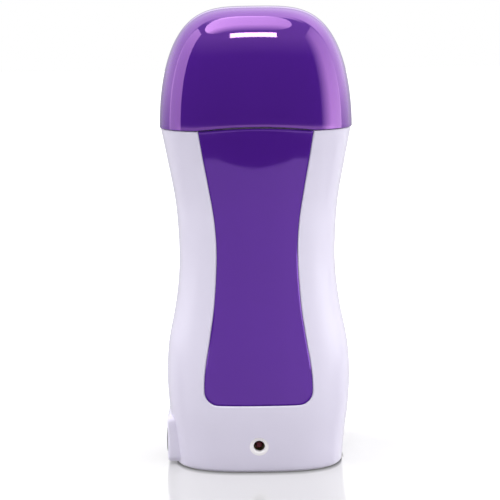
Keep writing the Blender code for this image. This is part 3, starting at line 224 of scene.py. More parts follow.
# Mesh fineness, as counts
RING_POINTS = 160
BODY_LEVELS = 84
HOLLOW_LEVELS = 28
FILLET_STEPS = 5
LID_ROWS = 64
LID_INNER_ROWS = 32
LID_SAMPLES = 800
LID_INNER_EDGE_STEPS = 3
COLLAR_LEVELS = 6
WINDOW_COLUMNS = 26
WINDOW_ROWS = 84
WINDOW_CORNER_ROWS = 10
OUTLINE_STEPS = 8
TURN_SIDES = 48
SMALL_TURN_SIDES = 24
LOBE_STEPS = 32
LENS_STEPS = 12

# Shading of meshes
SHARP_DEGREES = 32
FACE_WEIGHT = 60

# Surface noise: scales per metre, detail, and the part of its range that is used
SHADE_SCALE = 45.0
SHADE_DETAIL = 3.0
GLOSS_SCALE = 120.0
FINE_DETAIL = 2.0
GRAIN_HEIGHT = 0.00005
NOISE_LOW_SHARE = 0.3
NOISE_HIGH_SHARE = 0.7

# Look of each material slot: colour, second shade, roughness range, strength and size of the grain
LOOKS = {
    "white_shell": ((0.815, 0.775, 0.93), (0.807, 0.767, 0.922), (0.24, 0.262), 0.006, 0.0015),
    "purple_lid": ((0.070, 0.0115, 0.262), (0.068, 0.011, 0.256), (0.035, 0.05), 0.004, 0.0006),
    "purple_window": ((0.077, 0.012, 0.288), (0.075, 0.0115, 0.282), (0.05, 0.07), 0.004, 0.0006),
    "natural_plastic": ((0.76, 0.75, 0.75), (0.72, 0.71, 0.71), (0.40, 0.50), 0.2, 0.0004),
    "aluminium": ((0.77, 0.78, 0.80), (0.70, 0.71, 0.73), (0.28, 0.42), 0.3, 0.0003),
    "steel": ((0.62, 0.63, 0.65), (0.55, 0.56, 0.58), (0.29, 0.38), 0.15, 0.0003),
    "brass": ((0.80, 0.62, 0.33), (0.74, 0.55, 0.27), (0.20, 0.26), 0.1, 0.0003),
    "black_plastic": ((0.018, 0.018, 0.02), (0.025, 0.025, 0.027), (0.30, 0.42), 0.2, 0.0003),
    "ceramic": ((0.25, 0.24, 0.24), (0.21, 0.20, 0.20), (0.5, 0.7), 0.4, 0.0002),
    "amber_film": ((0.60, 0.27, 0.04), (0.52, 0.22, 0.03), (0.18, 0.26), 0.05, 0.0005),
    "board_laminate": ((0.50, 0.38, 0.18), (0.42, 0.31, 0.14), (0.42, 0.55), 0.3, 0.0002),
    "red_lens": ((0.10, 0.004, 0.012), (0.07, 0.003, 0.010), (0.05, 0.09), 0.01, 0.0005),
    "resistor_coat": ((0.62, 0.50, 0.32), (0.55, 0.43, 0.27), (0.34, 0.45), 0.2, 0.0002),
    "fuse_case": ((0.70, 0.62, 0.45), (0.63, 0.55, 0.40), (0.30, 0.40), 0.2, 0.0002),
    "brown_insulation": ((0.20, 0.07, 0.03), (0.17, 0.06, 0.025), (0.34, 0.46), 0.1, 0.0003),
    "blue_insulation": ((0.04, 0.10, 0.40), (0.035, 0.085, 0.34), (0.34, 0.46), 0.1, 0.0003),
    "red_insulation": ((0.50, 0.03, 0.03), (0.43, 0.025, 0.025), (0.34, 0.46), 0.1, 0.0003),
}
METALS = ("aluminium", "steel", "brass")
PLAIN_GLOSS = {"gloss": 0.5, "tint": (1.0, 1.0, 1.0), "refraction": 1.5}
PURPLE_GLOSS = {
    "purple_lid": {"gloss": 1.0, "tint": (0.9, 0.43, 1.0), "refraction": 1.75},
    "purple_window": {"gloss": 0.8, "tint": (0.62, 0.33, 1.0), "refraction": 1.75},
}
# Whiter colour painted round the indicator hole as a highlight
LED_HIGHLIGHT_COLOUR = (1.0, 0.97, 1.0)
# Sockets of a colour mix, whose names come more than once on the node: the share, both colours, the result
COLOUR_MIX_INPUTS = (0, 6, 7)
COLOUR_MIX_OUTPUT = 2

# Camera, with its turns in degrees
CAMERA_PLACE = (0.0, -0.6, 0.195)
CAMERA_LENS = 106.0
CAMERA_SENSOR = 36.0
CAMERA_CLIP = 0.01
CAMERA_TILT = 79.94
CAMERA_PAN = 0.28
CAMERA_ROLL = -0.67

# Softboxes: place, turn in degrees, size and radiance. Across the lamp and up it, the radiance is multiplied
# by shares, which change from the first to the second between two end shares of the lamp's width or height.
EVEN_SHARES = (1.0, 1.0)
WHOLE_SHARES = (0.0, 1.0)
SOFTBOXES = {
    "left_box": {
        "place": (-1.0, -0.11, 0.63),
        "turn": (90, 0, -90),
        "size": (0.6, 1.44),
        "radiance": 2.0,
        "up_shares": (0.7, 1.1),
    },
    "right_box": {
        "place": (1.0, -0.355, 0.65),
        "turn": (90, 0, 90),
        "size": (1.03, 1.5),
        "radiance": 2.4,
        "across_shares": (0.0, 1.0),
        "across_end_shares": (0.0, 0.5),
        "up_shares": (1.35, 0.4),
    },
    "top_box": {
        "place": (-0.155, -0.33, 1.15),
        "turn": (0, 0, 0),
        "size": (1.05, 0.84),
        "radiance": 2.6,
        "across_shares": (1.3, 0.8),
        "up_shares": (0.0, 1.0),
        "up_end_shares": (0.05, 0.4),
        "shape": "ELLIPSE",
    },
    "bright_strip": {
        "place": (-0.02, -0.87, 1.12),
        "turn": (44, 0, 0),
        "size": (0.40, 0.14),
        "radiance": 16.0,
    },
}

# Floor: the polish and the glow change with the distance from a point in front of the foot
FLOOR_REACH = 3.0
FLOOR_COLOUR = (0.53, 0.525, 0.535)
FLOOR_ROUGHNESS = 0.1
FLOOR_FRONT = 0.05
FLOOR_GLOSS_SHARE = 0.25
FLOOR_POLISHED = 0.055
FLOOR_MATT = 0.09
FLOOR_GLOW_NEAR = 0.18
FLOOR_GLOW_FAR = 1.0
FLOOR_NEAR = 0.055
FLOOR_FAR = 0.16
CONTACT_SHADE_SHARE = 0.4
CONTACT_REACH = 0.004
CONTACT_SIDE_REACH = 0.001

# Light of the world by direction. A ramp is an axis, its two levels, and the direction's values on that axis
# between which the first level turns into the second. The ramps of a row are multiplied.
WORLD_WHITE = (1.0, 1.0, 1.0, 1.0)
FILL_RAMP = ("Y", 0.41, 0.75, -0.2, 0.6)
BASE_RAMP = ("Z", 0.04, 0.05, -1.0, 1.0)
BEHIND_RAMP = ("Y", 0.0, 1.0, 0.14, 0.2)
OVERHEAD_RAMPS = (("Y", 0.0, 1.0, 0.02, 0.06), ("Z", 0.0, 1.0, 0.85, 0.97))
TENT_RAMPS = (("Y", 1.0, 0.4, 0.75, 1.0), ("X", 1.5, 2.2, -0.6, 0.6), ("Z", 0.5, 1.0, -0.1, 0.1))
SWEEP_RAMPS = (("Z", 0.0, 1.0, 0.2, 0.26), ("Z", 1.0, 0.0, 0.42, 0.5), ("Y", 0.0, 0.9, 0.88, 0.92))
HAZE_RAMP = ("Z", 0.0, 0.35, 0.45, 0.7)
TABLE_RAMPS = (("Z", 1.0, 0.0, -0.065, -0.045), ("Y", 0.76, 0.0, -0.4, -0.1), ("X", 0.97, 1.15, -0.1, 0.25))
# How far down the table reaches, by how far aside the direction points
TABLE_EDGE = (0.368, 0.417, 0.0, 0.30)


# Mesh helpers

def mesh_object(name, bm):
    bmesh.ops.recalc_face_normals(bm, faces=bm.faces)
    mesh = bpy.data.meshes.new(name)
    bm.to_mesh(mesh)
    bm.free()
    mesh.shade_smooth()
    mesh.set_sharp_from_angle(angle=math.radians(SHARP_DEGREES))
    obj = bpy.data.objects.new(name, mesh)
    bpy.context.scene.collection.objects.link(obj)
    return obj


def skin(name, rings, cyclic=False, fan=False):
    """A closed mesh through rings of equal counts. Its ends are capped, or the last ring meets the first."""
    bm = bmesh.new()
    layers = [[bm.verts.new(point) for point in ring] for ring in rings]
    count = len(layers[0])
    pairs = list(zip(layers, layers[1:]))
    if cyclic:
        pairs.append((layers[-1], layers[0]))
    for lower, upper in pairs:
        for i in range(count):
            j = (i + 1) % count
            bm.faces.new((lower[i], lower[j], upper[j], upper[i]))
    if not cyclic:
        for ring in (layers[0][::-1], layers[-1]):
            if fan:
                centre = bm.verts.new(sum((v.co for v in ring), Vector()) / count)
                for i in range(count):
                    bm.faces.new((ring[i], ring[(i + 1) % count], centre))
            else:
                bm.faces.new(ring)
    return mesh_object(name, bm)


def boolean(target, cutter, operation="DIFFERENCE"):
    """One exact Boolean, applied, after which the cutter is gone."""
    step = target.modifiers.new(operation.lower(), "BOOLEAN")
    step.operation = operation
    step.solver = "EXACT"
    step.object = cutter
    bpy.context.view_layer.update()
    result = bpy.data.meshes.new_from_object(target.evaluated_get(bpy.context.evaluated_depsgraph_get()))
    target.modifiers.clear()
    target.data = result
    bpy.data.objects.remove(cutter)
    return target


def without_slivers(obj):
    """The mesh without the edges and faces of no size that cuts leave."""
    bm = bmesh.new()
    bm.from_mesh(obj.data)
    bmesh.ops.dissolve_degenerate(bm, dist=SLIVER, edges=bm.edges)
    bm.to_mesh(obj.data)
    bm.free()
    return obj


def smooth_edges(obj):
    """Normals that follow the large faces, so that a cut leaves no shading behind."""
    obj.data.shade_smooth()
    obj.data.set_sharp_from_angle(angle=math.radians(SHARP_DEGREES))
    weighted = obj.modifiers.new("weighted_normals", "WEIGHTED_NORMAL")
    weighted.mode = "FACE_AREA"
    weighted.weight = FACE_WEIGHT
    weighted.keep_sharp = True
    return obj


def box(name, low, high):
    bm = bmesh.new()
    bmesh.ops.create_cube(bm, size=1.0)
    low, high = Vector(low), Vector(high)
    bmesh.ops.scale(bm, vec=high - low, verts=bm.verts)
    bmesh.ops.translate(bm, vec=(low + high) / 2, verts=bm.verts)
    return mesh_object(name, bm)


def turned(name, profile, start, direction, sides=TURN_SIDES):
    """A profile of (radius, height) pairs turned about direction, with its ends closed."""
    turn = Vector(direction).to_track_quat("Z", "Y").to_matrix()
    start = Vector(start)
    rings = []
    for radius, height in profile:
        ring = []
        for i in range(sides):
            angle = 2 * math.pi * (i + 0.5) / sides
            ring.append(start + turn @ Vector((radius * math.cos(angle), radius * math.sin(angle), height)))
        rings.append(ring)
    return skin(name, rings, fan=True)


def rounded_rectangle(u_low, u_high, v_low, v_high, radius):
    corners = (
        (u_high - radius, v_high - radius),
        (u_low + radius, v_high - radius),
        (u_low + radius, v_low + radius),
        (u_high - radius, v_low + radius),
    )
    points = []
    for corner, (u, v) in enumerate(corners):
        for step in range(OUTLINE_STEPS + 1):
            angle = math.pi / 2 * (corner + step / OUTLINE_STEPS)
            points.append((u + radius * math.cos(angle), v + radius * math.sin(angle)))
    return points


def side_ring(points, x):
    return [(x, y, z) for y, z in points]


def quarter(steps=FILLET_STEPS):
    """Shares (across, along) of a quarter round, from the flat it leaves to the wall it meets."""
    angles = [math.pi / 2 * k / steps for k in range(steps + 1)]
    return [(1 - math.sin(a), 1 - math.cos(a)) for a in angles]


def seat_of(node):
    """The node's box in the frame, and the x and z of its middle."""
    low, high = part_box(node)
    return low, high, (low.x + high.x) / 2, (low.z + high.z) / 2


# Case

def curve_through(table, share, column):
    """A smooth value read from rows of shares by cubic Hermite pieces."""
    last = len(table) - 1
    share = min(max(share, table[0][0]), table[last][0])
    i = max(k for k in range(last) if table[k][0] <= share)

    def slope(k):
        before, after = max(k - 1, 0), min(k + 1, last)
        return (table[after][column] - table[before][column]) / (table[after][0] - table[before][0])

    span = table[i + 1][0] - table[i][0]
    t = (share - table[i][0]) / span
    start, end = table[i][column], table[i + 1][column]
    rise_start, rise_end = slope(i) * span, slope(i + 1) * span
    return (
        start * (2 * t**3 - 3 * t**2 + 1)
        + rise_start * (t**3 - 2 * t**2 + t)
        + end * (3 * t**2 - 2 * t**3)
        + rise_end * (t**3 - t**2)
    )


def station(z):
    """Half width, front depth and rear depth of the case at height z."""
    share = z / BODY_HEIGHT
    return (
        WAIST_HALF_WIDTH + BODY_FLARE * curve_through(STATION_SHARES, share, 1),
        FRONT_WAIST_DEPTH + FRONT_TAPER * curve_through(STATION_SHARES, share, 2),
        REAR_WAIST_DEPTH + REAR_TAPER * curve_through(STATION_SHARES, share, 3),
    )


def section_ring(half_width, front, rear, z, y_centre=0.0):
    """A rounded-rectangle ring at height z, front deep at -Y and rear deep at +Y."""
    ring = []
    for i in range(RING_POINTS):
        angle = 2 * math.pi * (i + 0.5) / RING_POINTS
        c, s = math.cos(angle), math.sin(angle)
        reach = (abs(c) ** SECTION_POWER + abs(s) ** SECTION_POWER) ** (-1 / SECTION_POWER)
        ring.append(Vector((half_width * reach * c, y_centre + (rear if s > 0 else front) * reach * s, z)))
    return ring


def case_ring(z, inset=0.0, height=None):
    width, front, rear = station(z)
    return section_ring(width - inset, front - inset, rear - inset, z if height is None else height)


def front_surface(x, z, inset=0.0):
    """Y of the case's front at (x, z), inset below the outside."""
    width, front, _ = station(z)
    share = min(abs(x) / (width - inset), 1.0)
    return -(front - inset) * (1 - share**SECTION_POWER) ** (1 / SECTION_POWER)


def rear_surface(x, z):
    """Y of the case's rear at (x, z)."""
    width, _, rear = station(z)
    return rear * (1 - (abs(x) / width) ** SECTION_POWER) ** (1 / SECTION_POWER)


def outer_case(name):
    rings = []
    for across, along in quarter():
        z = BASE_FILLET * along
        rings.append(case_ring(z, BASE_FILLET * across))
    top = BODY_HEIGHT + RIM_RISE
    low, high = BASE_FILLET, top - RIM_FILLET
    rings += [case_ring(low + (high - low) * k / BODY_LEVELS) for k in range(1, BODY_LEVELS + 1)]
    for across, along in quarter()[-2::-1]:
        rings.append(case_ring(top - RIM_FILLET * along, RIM_FILLET * across))
    return skin(name, rings)


def case_hollow(name):
    rise = BODY_HEIGHT - SHELL_FLOOR
    rings = [case_ring(SHELL_FLOOR + rise * k / HOLLOW_LEVELS, SHELL_WALL) for k in range(HOLLOW_LEVELS + 1)]
    rings.append(case_ring(BODY_HEIGHT, SHELL_WALL, BODY_HEIGHT + OVERRUN))
    return skin(name, rings)


def pad(name):
    """The raised pad round the mains inlet, its outer edges rounded over."""
    rings = []
    for across, along in quarter():
        shrink = PAD_EDGE * across
        outline = rounded_rectangle(
            shrink - PAD_HALF_DEPTH, PAD_HALF_DEPTH - shrink, PAD_BOTTOM + shrink, PAD_TOP - shrink,
            PAD_CORNER - shrink,
        )
        rings.append(side_ring(outline, PAD_X + PAD_EDGE * along))
    root = rounded_rectangle(-PAD_HALF_DEPTH, PAD_HALF_DEPTH, PAD_BOTTOM, PAD_TOP, PAD_CORNER)
    rings.append(side_ring(root, SHELL_WALL - WAIST_HALF_WIDTH))
    return skin(name, rings)


def inlet_outline(grow):
    return rounded_rectangle(
        -INLET_HALF_DEPTH - grow,
        INLET_HALF_DEPTH + grow,
        INLET_HEIGHT - INLET_HALF_HEIGHT - grow,
        INLET_HEIGHT + INLET_HALF_HEIGHT + grow,
        INLET_CORNER + grow,
    )


def inlet_hole(name):
    """The hole through the pad and the wall, with a small lip at its mouth."""
    outside = inlet_outline(FIT_GAP + INLET_EDGE)
    rings = [side_ring(outside, PAD_X - OVERRUN), side_ring(outside, PAD_X)]
    wall = inlet_outline(FIT_GAP)
    rings += [side_ring(wall, PAD_X + INLET_EDGE), side_ring(wall, 2 * SHELL_WALL - WAIST_HALF_WIDTH)]
    return skin(name, rings)


def case_half(name, front):
    """One half of the case, cut at the seam, with its screw bosses and its share of the inlet's hole."""
    shell = boolean(outer_case(name), pad(name + "_pad"), "UNION")
    hollow = case_hollow(name + "_hollow")
    for screw in SCREWS:
        if front and "upper" in screw:
            continue
        _, high, x, z = seat_of(screw)
        reach = -RIM_HALF_DEPTH if front else RIM_HALF_DEPTH
        root = 0.0 if "lower" in screw else high.y - SCREW_HEAD_HEIGHT - SCREW_SEAT
        profile = [(SCREW_BOSS_RADIUS, 0.0), (SCREW_BOSS_RADIUS, abs(reach - root))]
        boolean(hollow, turned(name + "_boss", profile, (x, root, z), (0, reach, 0)))
    boolean(shell, hollow)
    boolean(shell, inlet_hole(name + "_inlet"))
    reach, depth = RIM_HALF_WIDTH + OVERRUN, RIM_HALF_DEPTH + OVERRUN
    low_y, high_y = (-SEAM_GAP / 2, depth) if front else (-depth, SEAM_GAP / 2)
    seam = box(name + "_seam", (-reach, low_y, -OVERRUN), (reach, high_y, BODY_HEIGHT + OVERRUN))
    return without_slivers(boolean(shell, seam))


# Window

def window_half_width(z):
    return WINDOW_WAIST_WIDTH / 2 + WINDOW_FLARE * curve_through(WINDOW_SHARES, z / BODY_HEIGHT, 1)


def window_grid(grow, inset, top_grow):
    """Rows of points over the window's outline grown by grow, inset below the case's front."""
    corner = WINDOW_CORNER + grow
    bottom = WINDOW_BOTTOM - grow
    shoulder, top = bottom + corner, BODY_HEIGHT + top_grow
    rows = []
    for k in range(WINDOW_CORNER_ROWS):
        angle = math.pi / 2 * k / WINDOW_CORNER_ROWS
        side = window_half_width(shoulder) + grow
        rows.append((shoulder - corner * math.cos(angle), side - corner * (1 - math.sin(angle))))
    heights = [shoulder + (top - WINDOW_EDGE - shoulder) * k / WINDOW_ROWS for k in range(WINDOW_ROWS + 1)]
    for z in [*heights, top]:
        rows.append((z, window_half_width(z) + grow))
    arch = ARCH_RISE - ARCH_WINDOW_GAP
    grid = []
    for z, half_width in rows:
        line = []
        ease = max((z - shoulder) / (top - shoulder), 0.0) ** ARCH_EASE_POWER
        shares = [column / WINDOW_COLUMNS for column in range(1 - WINDOW_COLUMNS, WINDOW_COLUMNS)]
        edge = 1 - WINDOW_EDGE / half_width
        for share in [-1.0, *(edge * share for share in (-1.0, *shares, 1.0)), 1.0]:
            x = half_width * share
            height = z + arch * ease * (1 - (x / ARCH_HALF_CHORD) ** 2)
            rim = front_surface(x, BODY_HEIGHT, inset)
            lean = (rim - front_surface(x, BODY_HEIGHT - WINDOW_EDGE, inset)) / WINDOW_EDGE
            y = front_surface(x, min(height, BODY_HEIGHT), inset) + lean * max(height - BODY_HEIGHT, 0.0)
            line.append((x, y, height))
        grid.append(line)
    return grid


def grid_border(grid):
    """The grid's outer points in order: bottom, right side, top, left side."""
    right = [row[-1] for row in grid[1:]]
    left = [row[0] for row in grid[-2:0:-1]]
    return [*grid[0], *right, *grid[-1][-2::-1], *left]


def layered_panel(name, layers):
    """A closed solid through outlines of (grow, inset, top_grow), the first and last filled as grids."""
    grids = [window_grid(*layer) for layer in layers]
    bm = bmesh.new()
    borders = [[bm.verts.new(p) for p in grid_border(grid)] for grid in grids]
    count = len(borders[0])
    for upper, lower in zip(borders, borders[1:]):
        for i in range(count):
            j = (i + 1) % count
            bm.faces.new((upper[i], upper[j], lower[j], lower[i]))
    for grid in (grids[0], grids[-1]):
        verts = [[bm.verts.new(p) for p in line] for line in grid]
        for lower, upper in zip(verts, verts[1:]):
            for i in range(len(lower) - 1):
                bm.faces.new((lower[i], lower[i + 1], upper[i + 1], upper[i]))
    bmesh.ops.remove_doubles(bm, verts=bm.verts, dist=WELD)
    return mesh_object(name, bm)


def window_recess(name):
    """The cutter for the window's seat, whose mouth slopes in."""
    slope = WINDOW_LIP_DEPTH / WINDOW_LIP
    layers = [
        (WINDOW_GAP + WINDOW_LIP + WINDOW_MOUTH_OVERRUN, -slope * WINDOW_MOUTH_OVERRUN, OVERRUN),
        (WINDOW_GAP, WINDOW_LIP_DEPTH, OVERRUN),
        (WINDOW_GAP, WINDOW_FLOOR, OVERRUN),
    ]
    return layered_panel(name, layers)


# Pieces of the case

def front_shell():
    shell = case_half("case_front", True)
    boolean(shell, window_recess("window_recess"))
    opening = [(-WINDOW_LEDGE, 0.0, -WINDOW_LEDGE), (-WINDOW_LEDGE, SHELL_WALL + OVERRUN / 2, -WINDOW_LEDGE)]
    boolean(shell, layered_panel("window_opening", opening))
    y = front_surface(0.0, LED_HEIGHT)
    lip = SCREW_LIP / 2
    profile = [(LED_SINK_RADIUS + SCREW_LIP, -OVERRUN), (LED_SINK_RADIUS + SCREW_LIP, -lip)]
    profile.append((LED_SINK_RADIUS, lip))
    bowl = LED_SINK_RADIUS - LED_HOLE_RADIUS
    for across, along in quarter()[1:]:
        profile.append((LED_HOLE_RADIUS + bowl * across, lip + LED_SINK_DEPTH * along))
    profile.append((LED_HOLE_RADIUS, SHELL_WALL + OVERRUN))
    boolean(shell, turned("led_hole", profile, (0.0, y, LED_HEIGHT), (0, 1, 0)))
    return smooth_edges(shell)


def rear_shell():
    shell = case_half("case_rear", False)
    for screw in SCREWS:
        _, high, x, z = seat_of(screw)
        seat = high.y - SCREW_HEAD_HEIGHT
        wall = rear_surface(x, z)
        ease = SCREW_LIP * SCREW_LIP_EASE_SHARE
        profile = [
            (SCREW_BORE_RADIUS + SCREW_LIP + OVERRUN, wall + OVERRUN),
            (SCREW_BORE_RADIUS + SCREW_LIP, wall),
            (SCREW_BORE_RADIUS + ease, wall - ease),
            (SCREW_BORE_RADIUS, wall - SCREW_LIP),
            (SCREW_BORE_RADIUS, seat),
            (SCREW_CLEAR_RADIUS, seat),
            (SCREW_CLEAR_RADIUS, -OVERRUN),
        ]
        boolean(shell, turned("screw_bore", profile[::-1], (x, 0.0, z), (0, 1, 0)))
    return smooth_edges(shell)


def front_window():
    """The panel, whose border slopes down to the gap round it."""
    eased = WINDOW_EDGE * (1 - WINDOW_EDGE_EASE_SHARE)
    layers = [
        (-WINDOW_EDGE, WINDOW_RECESS, -WINDOW_EDGE),
        (-eased, WINDOW_RECESS + WINDOW_EDGE_DEPTH * WINDOW_EDGE_EASE_SHARE, -eased),
        (0.0, WINDOW_RECESS + WINDOW_EDGE_DEPTH, 0.0),
        (0.0, WINDOW_RECESS + WINDOW_SKIN, 0.0),
    ]
    return smooth_edges(layered_panel("front_panel", layers))


# Lid

def lid_rows(half_width, height, low, rows):
    """Heights evenly spaced along the dome's side, from low to just short of the crown."""
    samples = [(1 - k / LID_SAMPLES) ** 2 for k in range(LID_SAMPLES)]
    line = []
    for gap in samples:
        z = low + (LID_SPRING + height - low) * (1 - gap)
        line.append((half_width * dome_scale(z, height), z))
    lengths = [0.0]
    for (r0, z0), (r1, z1) in zip(line, line[1:]):
        lengths.append(lengths[-1] + math.hypot(r1 - r0, z1 - z0))
    heights, i = [], 0
    for k in range(rows + 1):
        target = lengths[-1] * k / rows
        while lengths[i + 1] < target:
            i += 1
        share = (target - lengths[i]) / (lengths[i + 1] - lengths[i])
        heights.append(line[i][1] + (line[i + 1][1] - line[i][1]) * share)
    return heights


def dome_scale(z, height):
    """The dome's width at height z as a share of its width at the spring."""
    rise = min(max((z - LID_SPRING) / height, 0.0), 1.0)
    return (1 - rise**LID_CROWN_POWER) ** (1 / LID_SIDE_POWER)


def arch_lift(x, y, z):
    """How far the lid's edge is raised over the window, fading out above it."""
    if y > 0 or abs(x) > ARCH_HALF_CHORD:
        return 0.0
    fade = max(1 - (z - LID_BOTTOM) / ARCH_REACH, 0.0)
    return ARCH_RISE * (1 - (x / ARCH_HALF_CHORD) ** 2) * fade**2


def lid_ring(z, wall, inset=0.0):
    height = LID_TOP - LID_SPRING - wall
    half_width, half_depth = LID_HALF_WIDTH - wall, LID_HALF_DEPTH - wall
    scale = dome_scale(z, height)
    ring = section_ring(half_width * scale - inset, half_depth * scale - inset, half_depth * scale - inset, z)
    return [point + Vector((0, 0, arch_lift(point.x, point.y, z))) for point in ring]


def lid():
    outer = lid_rows(LID_HALF_WIDTH, LID_TOP - LID_SPRING, LID_BOTTOM + LID_EDGE, LID_ROWS)
    rings = [lid_ring(z, 0.0) for z in outer[::-1]]
    for across, along in quarter()[-2::-1]:
        rings.append(lid_ring(LID_BOTTOM + LID_EDGE * along, 0.0, LID_EDGE * across))
    for across, along in quarter(LID_INNER_EDGE_STEPS):
        rings.append(lid_ring(LID_BOTTOM + LID_INNER_EDGE * along, LID_WALL, -LID_INNER_EDGE * across))
    inner_height = LID_TOP - LID_SPRING - LID_WALL
    inner = lid_rows(LID_HALF_WIDTH - LID_WALL, inner_height, LID_BOTTOM + LID_INNER_EDGE, LID_INNER_ROWS)
    rings += [lid_ring(z, LID_WALL) for z in inner[1:]]
    return skin("cap", rings, fan=True)


# Collar, chamber and plate

def bay_ring(z, grow=0.0):
    return section_ring(BAY_HALF_WIDTH + grow, BAY_HALF_DEPTH + grow, BAY_HALF_DEPTH + grow, z, BAY_Y)


def top_collar():
    """One closed skin: flange, neck, deck, mouth, skirt and the underside back to the flange."""
    scale = dome_scale(NECK_TOP, LID_TOP - LID_SPRING - LID_WALL)
    neck_width = (LID_HALF_WIDTH - LID_WALL) * scale - LID_CLEARANCE
    neck_depth = (LID_HALF_DEPTH - LID_WALL) * scale - LID_CLEARANCE
    inset = SHELL_WALL + FIT_GAP
    wall = inset + COLLAR_WALL
    rise = BODY_HEIGHT - COLLAR_BOTTOM
    levels = [COLLAR_BOTTOM + rise * k / COLLAR_LEVELS for k in range(COLLAR_LEVELS + 1)]

    def neck(z, inset_by=0.0):
        return section_ring(neck_width - inset_by, neck_depth - inset_by, neck_depth - inset_by, z)

    rings = [case_ring(z, inset) for z in levels]
    rings.append(case_ring(BODY_HEIGHT, inset, LID_BOTTOM))
    rings.append(neck(LID_BOTTOM))
    for across, along in quarter()[::-1]:
        rings.append(neck(NECK_TOP - NECK_FILLET * along, NECK_FILLET * across))
    for across, along in quarter():
        rings.append(bay_ring(NECK_TOP - MOUTH_FILLET * along, MOUTH_FILLET * across))
    skirt_end = CHAMBER_TOP + FIT_GAP
    rings.append(bay_ring(skirt_end))
    rings.append(bay_ring(skirt_end, CHAMBER_WALL))
    rings.append(bay_ring(NECK_TOP - DECK_THICKNESS, CHAMBER_WALL))
    rings.append(case_ring(BODY_HEIGHT, wall, NECK_TOP - DECK_THICKNESS))
    rings += [case_ring(z, wall) for z in levels[::-1]]
    return skin("neck_collar", rings, cyclic=True)


def cartridge_chamber():
    """The bay, with a slot in its front and a window for the heat plate in its rear wall."""
    top, wall, edge = CHAMBER_TOP, CHAMBER_WALL, MOUTH_FILLET / 2
    rings = []
    for across, along in quarter():
        rings.append(bay_ring(CHAMBER_BOTTOM + MOUTH_FILLET * along, wall - MOUTH_FILLET * across))
    rings += [bay_ring(top - edge, wall), bay_ring(top, wall - edge)]
    rings += [bay_ring(top, edge), bay_ring(top - edge)]
    floor = CHAMBER_BOTTOM + CHAMBER_FLOOR
    for across, along in quarter()[::-1]:
        rings.append(bay_ring(floor + MOUTH_FILLET * along, -MOUTH_FILLET * across))
    chamber = skin("chamber_bay", rings)
    slot_low, slot_high = CHAMBER_BOTTOM + SLOT_MARGIN, CHAMBER_TOP - SLOT_MARGIN
    slot = rounded_rectangle(-SLOT_HALF_WIDTH, SLOT_HALF_WIDTH, slot_low, slot_high, SLOT_CORNER)
    front, back = BAY_Y - BAY_HALF_DEPTH - OVERRUN, BAY_Y - BAY_HALF_DEPTH / 2
    boolean(chamber, skin("slot", [[(x, y, z) for x, z in slot] for y in (front, back)]))
    low = (PLATE_LOW.x - FIT_GAP, BAY_Y + BAY_HALF_DEPTH / 2, PLATE_LOW.z - FIT_GAP)
    high = (PLATE_HIGH.x + FIT_GAP, PLATE_HIGH.y + OVERRUN, PLATE_HIGH.z + FIT_GAP)
    boolean(chamber, box("plate_window", low, high))
    return smooth_edges(chamber)


def heat_plate():
    plate = box("heater_block", PLATE_LOW, PLATE_HIGH)
    low, high = PLATE_LOW.z - OVERRUN, PLATE_HIGH.z + OVERRUN
    boolean(plate, skin("plate_bay", [bay_ring(low), bay_ring(high)]))
    return smooth_edges(plate)


# Inlet and light

def figure_eight(grow=0.0):
    """The mouth's outline: two round lobes that meet at a waist."""
    radius, waist = LOBE_RADIUS + grow, LOBE_WAIST + grow
    turn = math.pi - math.asin(waist / radius)
    points = []
    for sign in (1, -1):
        for k in range(LOBE_STEPS + 1):
            angle = -turn + 2 * turn * k / LOBE_STEPS
            y = sign * (PIN_SPACING / 2 + radius * math.cos(angle))
            points.append((y, INLET_HEIGHT + sign * radius * math.sin(angle)))
    return points


def inlet_socket():
    face, back = SOCKET_LOW.x, SOCKET_HIGH.x
    rings = []
    for across, along in quarter():
        rings.append(side_ring(inlet_outline(-INLET_EDGE * across), face + INLET_EDGE * along))
    rings.append(side_ring(inlet_outline(0.0), back))
    socket = skin("mains_inlet", rings)
    mouth = [side_ring(figure_eight(INLET_EDGE), face - OVERRUN), side_ring(figure_eight(INLET_EDGE), face)]
    mouth += [side_ring(figure_eight(), face + INLET_EDGE), side_ring(figure_eight(), back - INLET_FLOOR)]
    boolean(socket, skin("inlet_mouth", mouth))
    return smooth_edges(socket)


def inlet_pin(node, name):
    low, high, _, centre_z = seat_of(node)
    centre_y = (low.y + high.y) / 2
    length = high.x - low.x
    tip = PIN_RADIUS * PIN_TIP_SHARE
    profile = [(PIN_RADIUS * PIN_TAIL_SHARE, 0.0), (PIN_RADIUS, length * PIN_TAPER_SHARE)]
    for across, along in quarter()[::-1]:
        profile.append((PIN_RADIUS - tip * across, length - tip * along))
    return turned(name, profile, (high.x, centre_y, centre_z), (-1, 0, 0), SMALL_TURN_SIDES)


def indicator_led():
    radius = (LED_HIGH.x - LED_LOW.x) / 2
    shoulder = LED_HIGH.y - LED_LOW.y - LED_LENS_RADIUS
    profile = [(radius, 0.0), (radius, LED_FLANGE), (LED_LENS_RADIUS, LED_FLANGE)]
    for k in range(1, LENS_STEPS):
        angle = math.pi / 2 * k / LENS_STEPS
        profile.append((LED_LENS_RADIUS * math.cos(angle), shoulder + LED_LENS_RADIUS * math.sin(angle)))
    return turned("indicator_lens", profile, (0.0, LED_HIGH.y, LED_HEIGHT), (0, -1, 0), SMALL_TURN_SIDES)


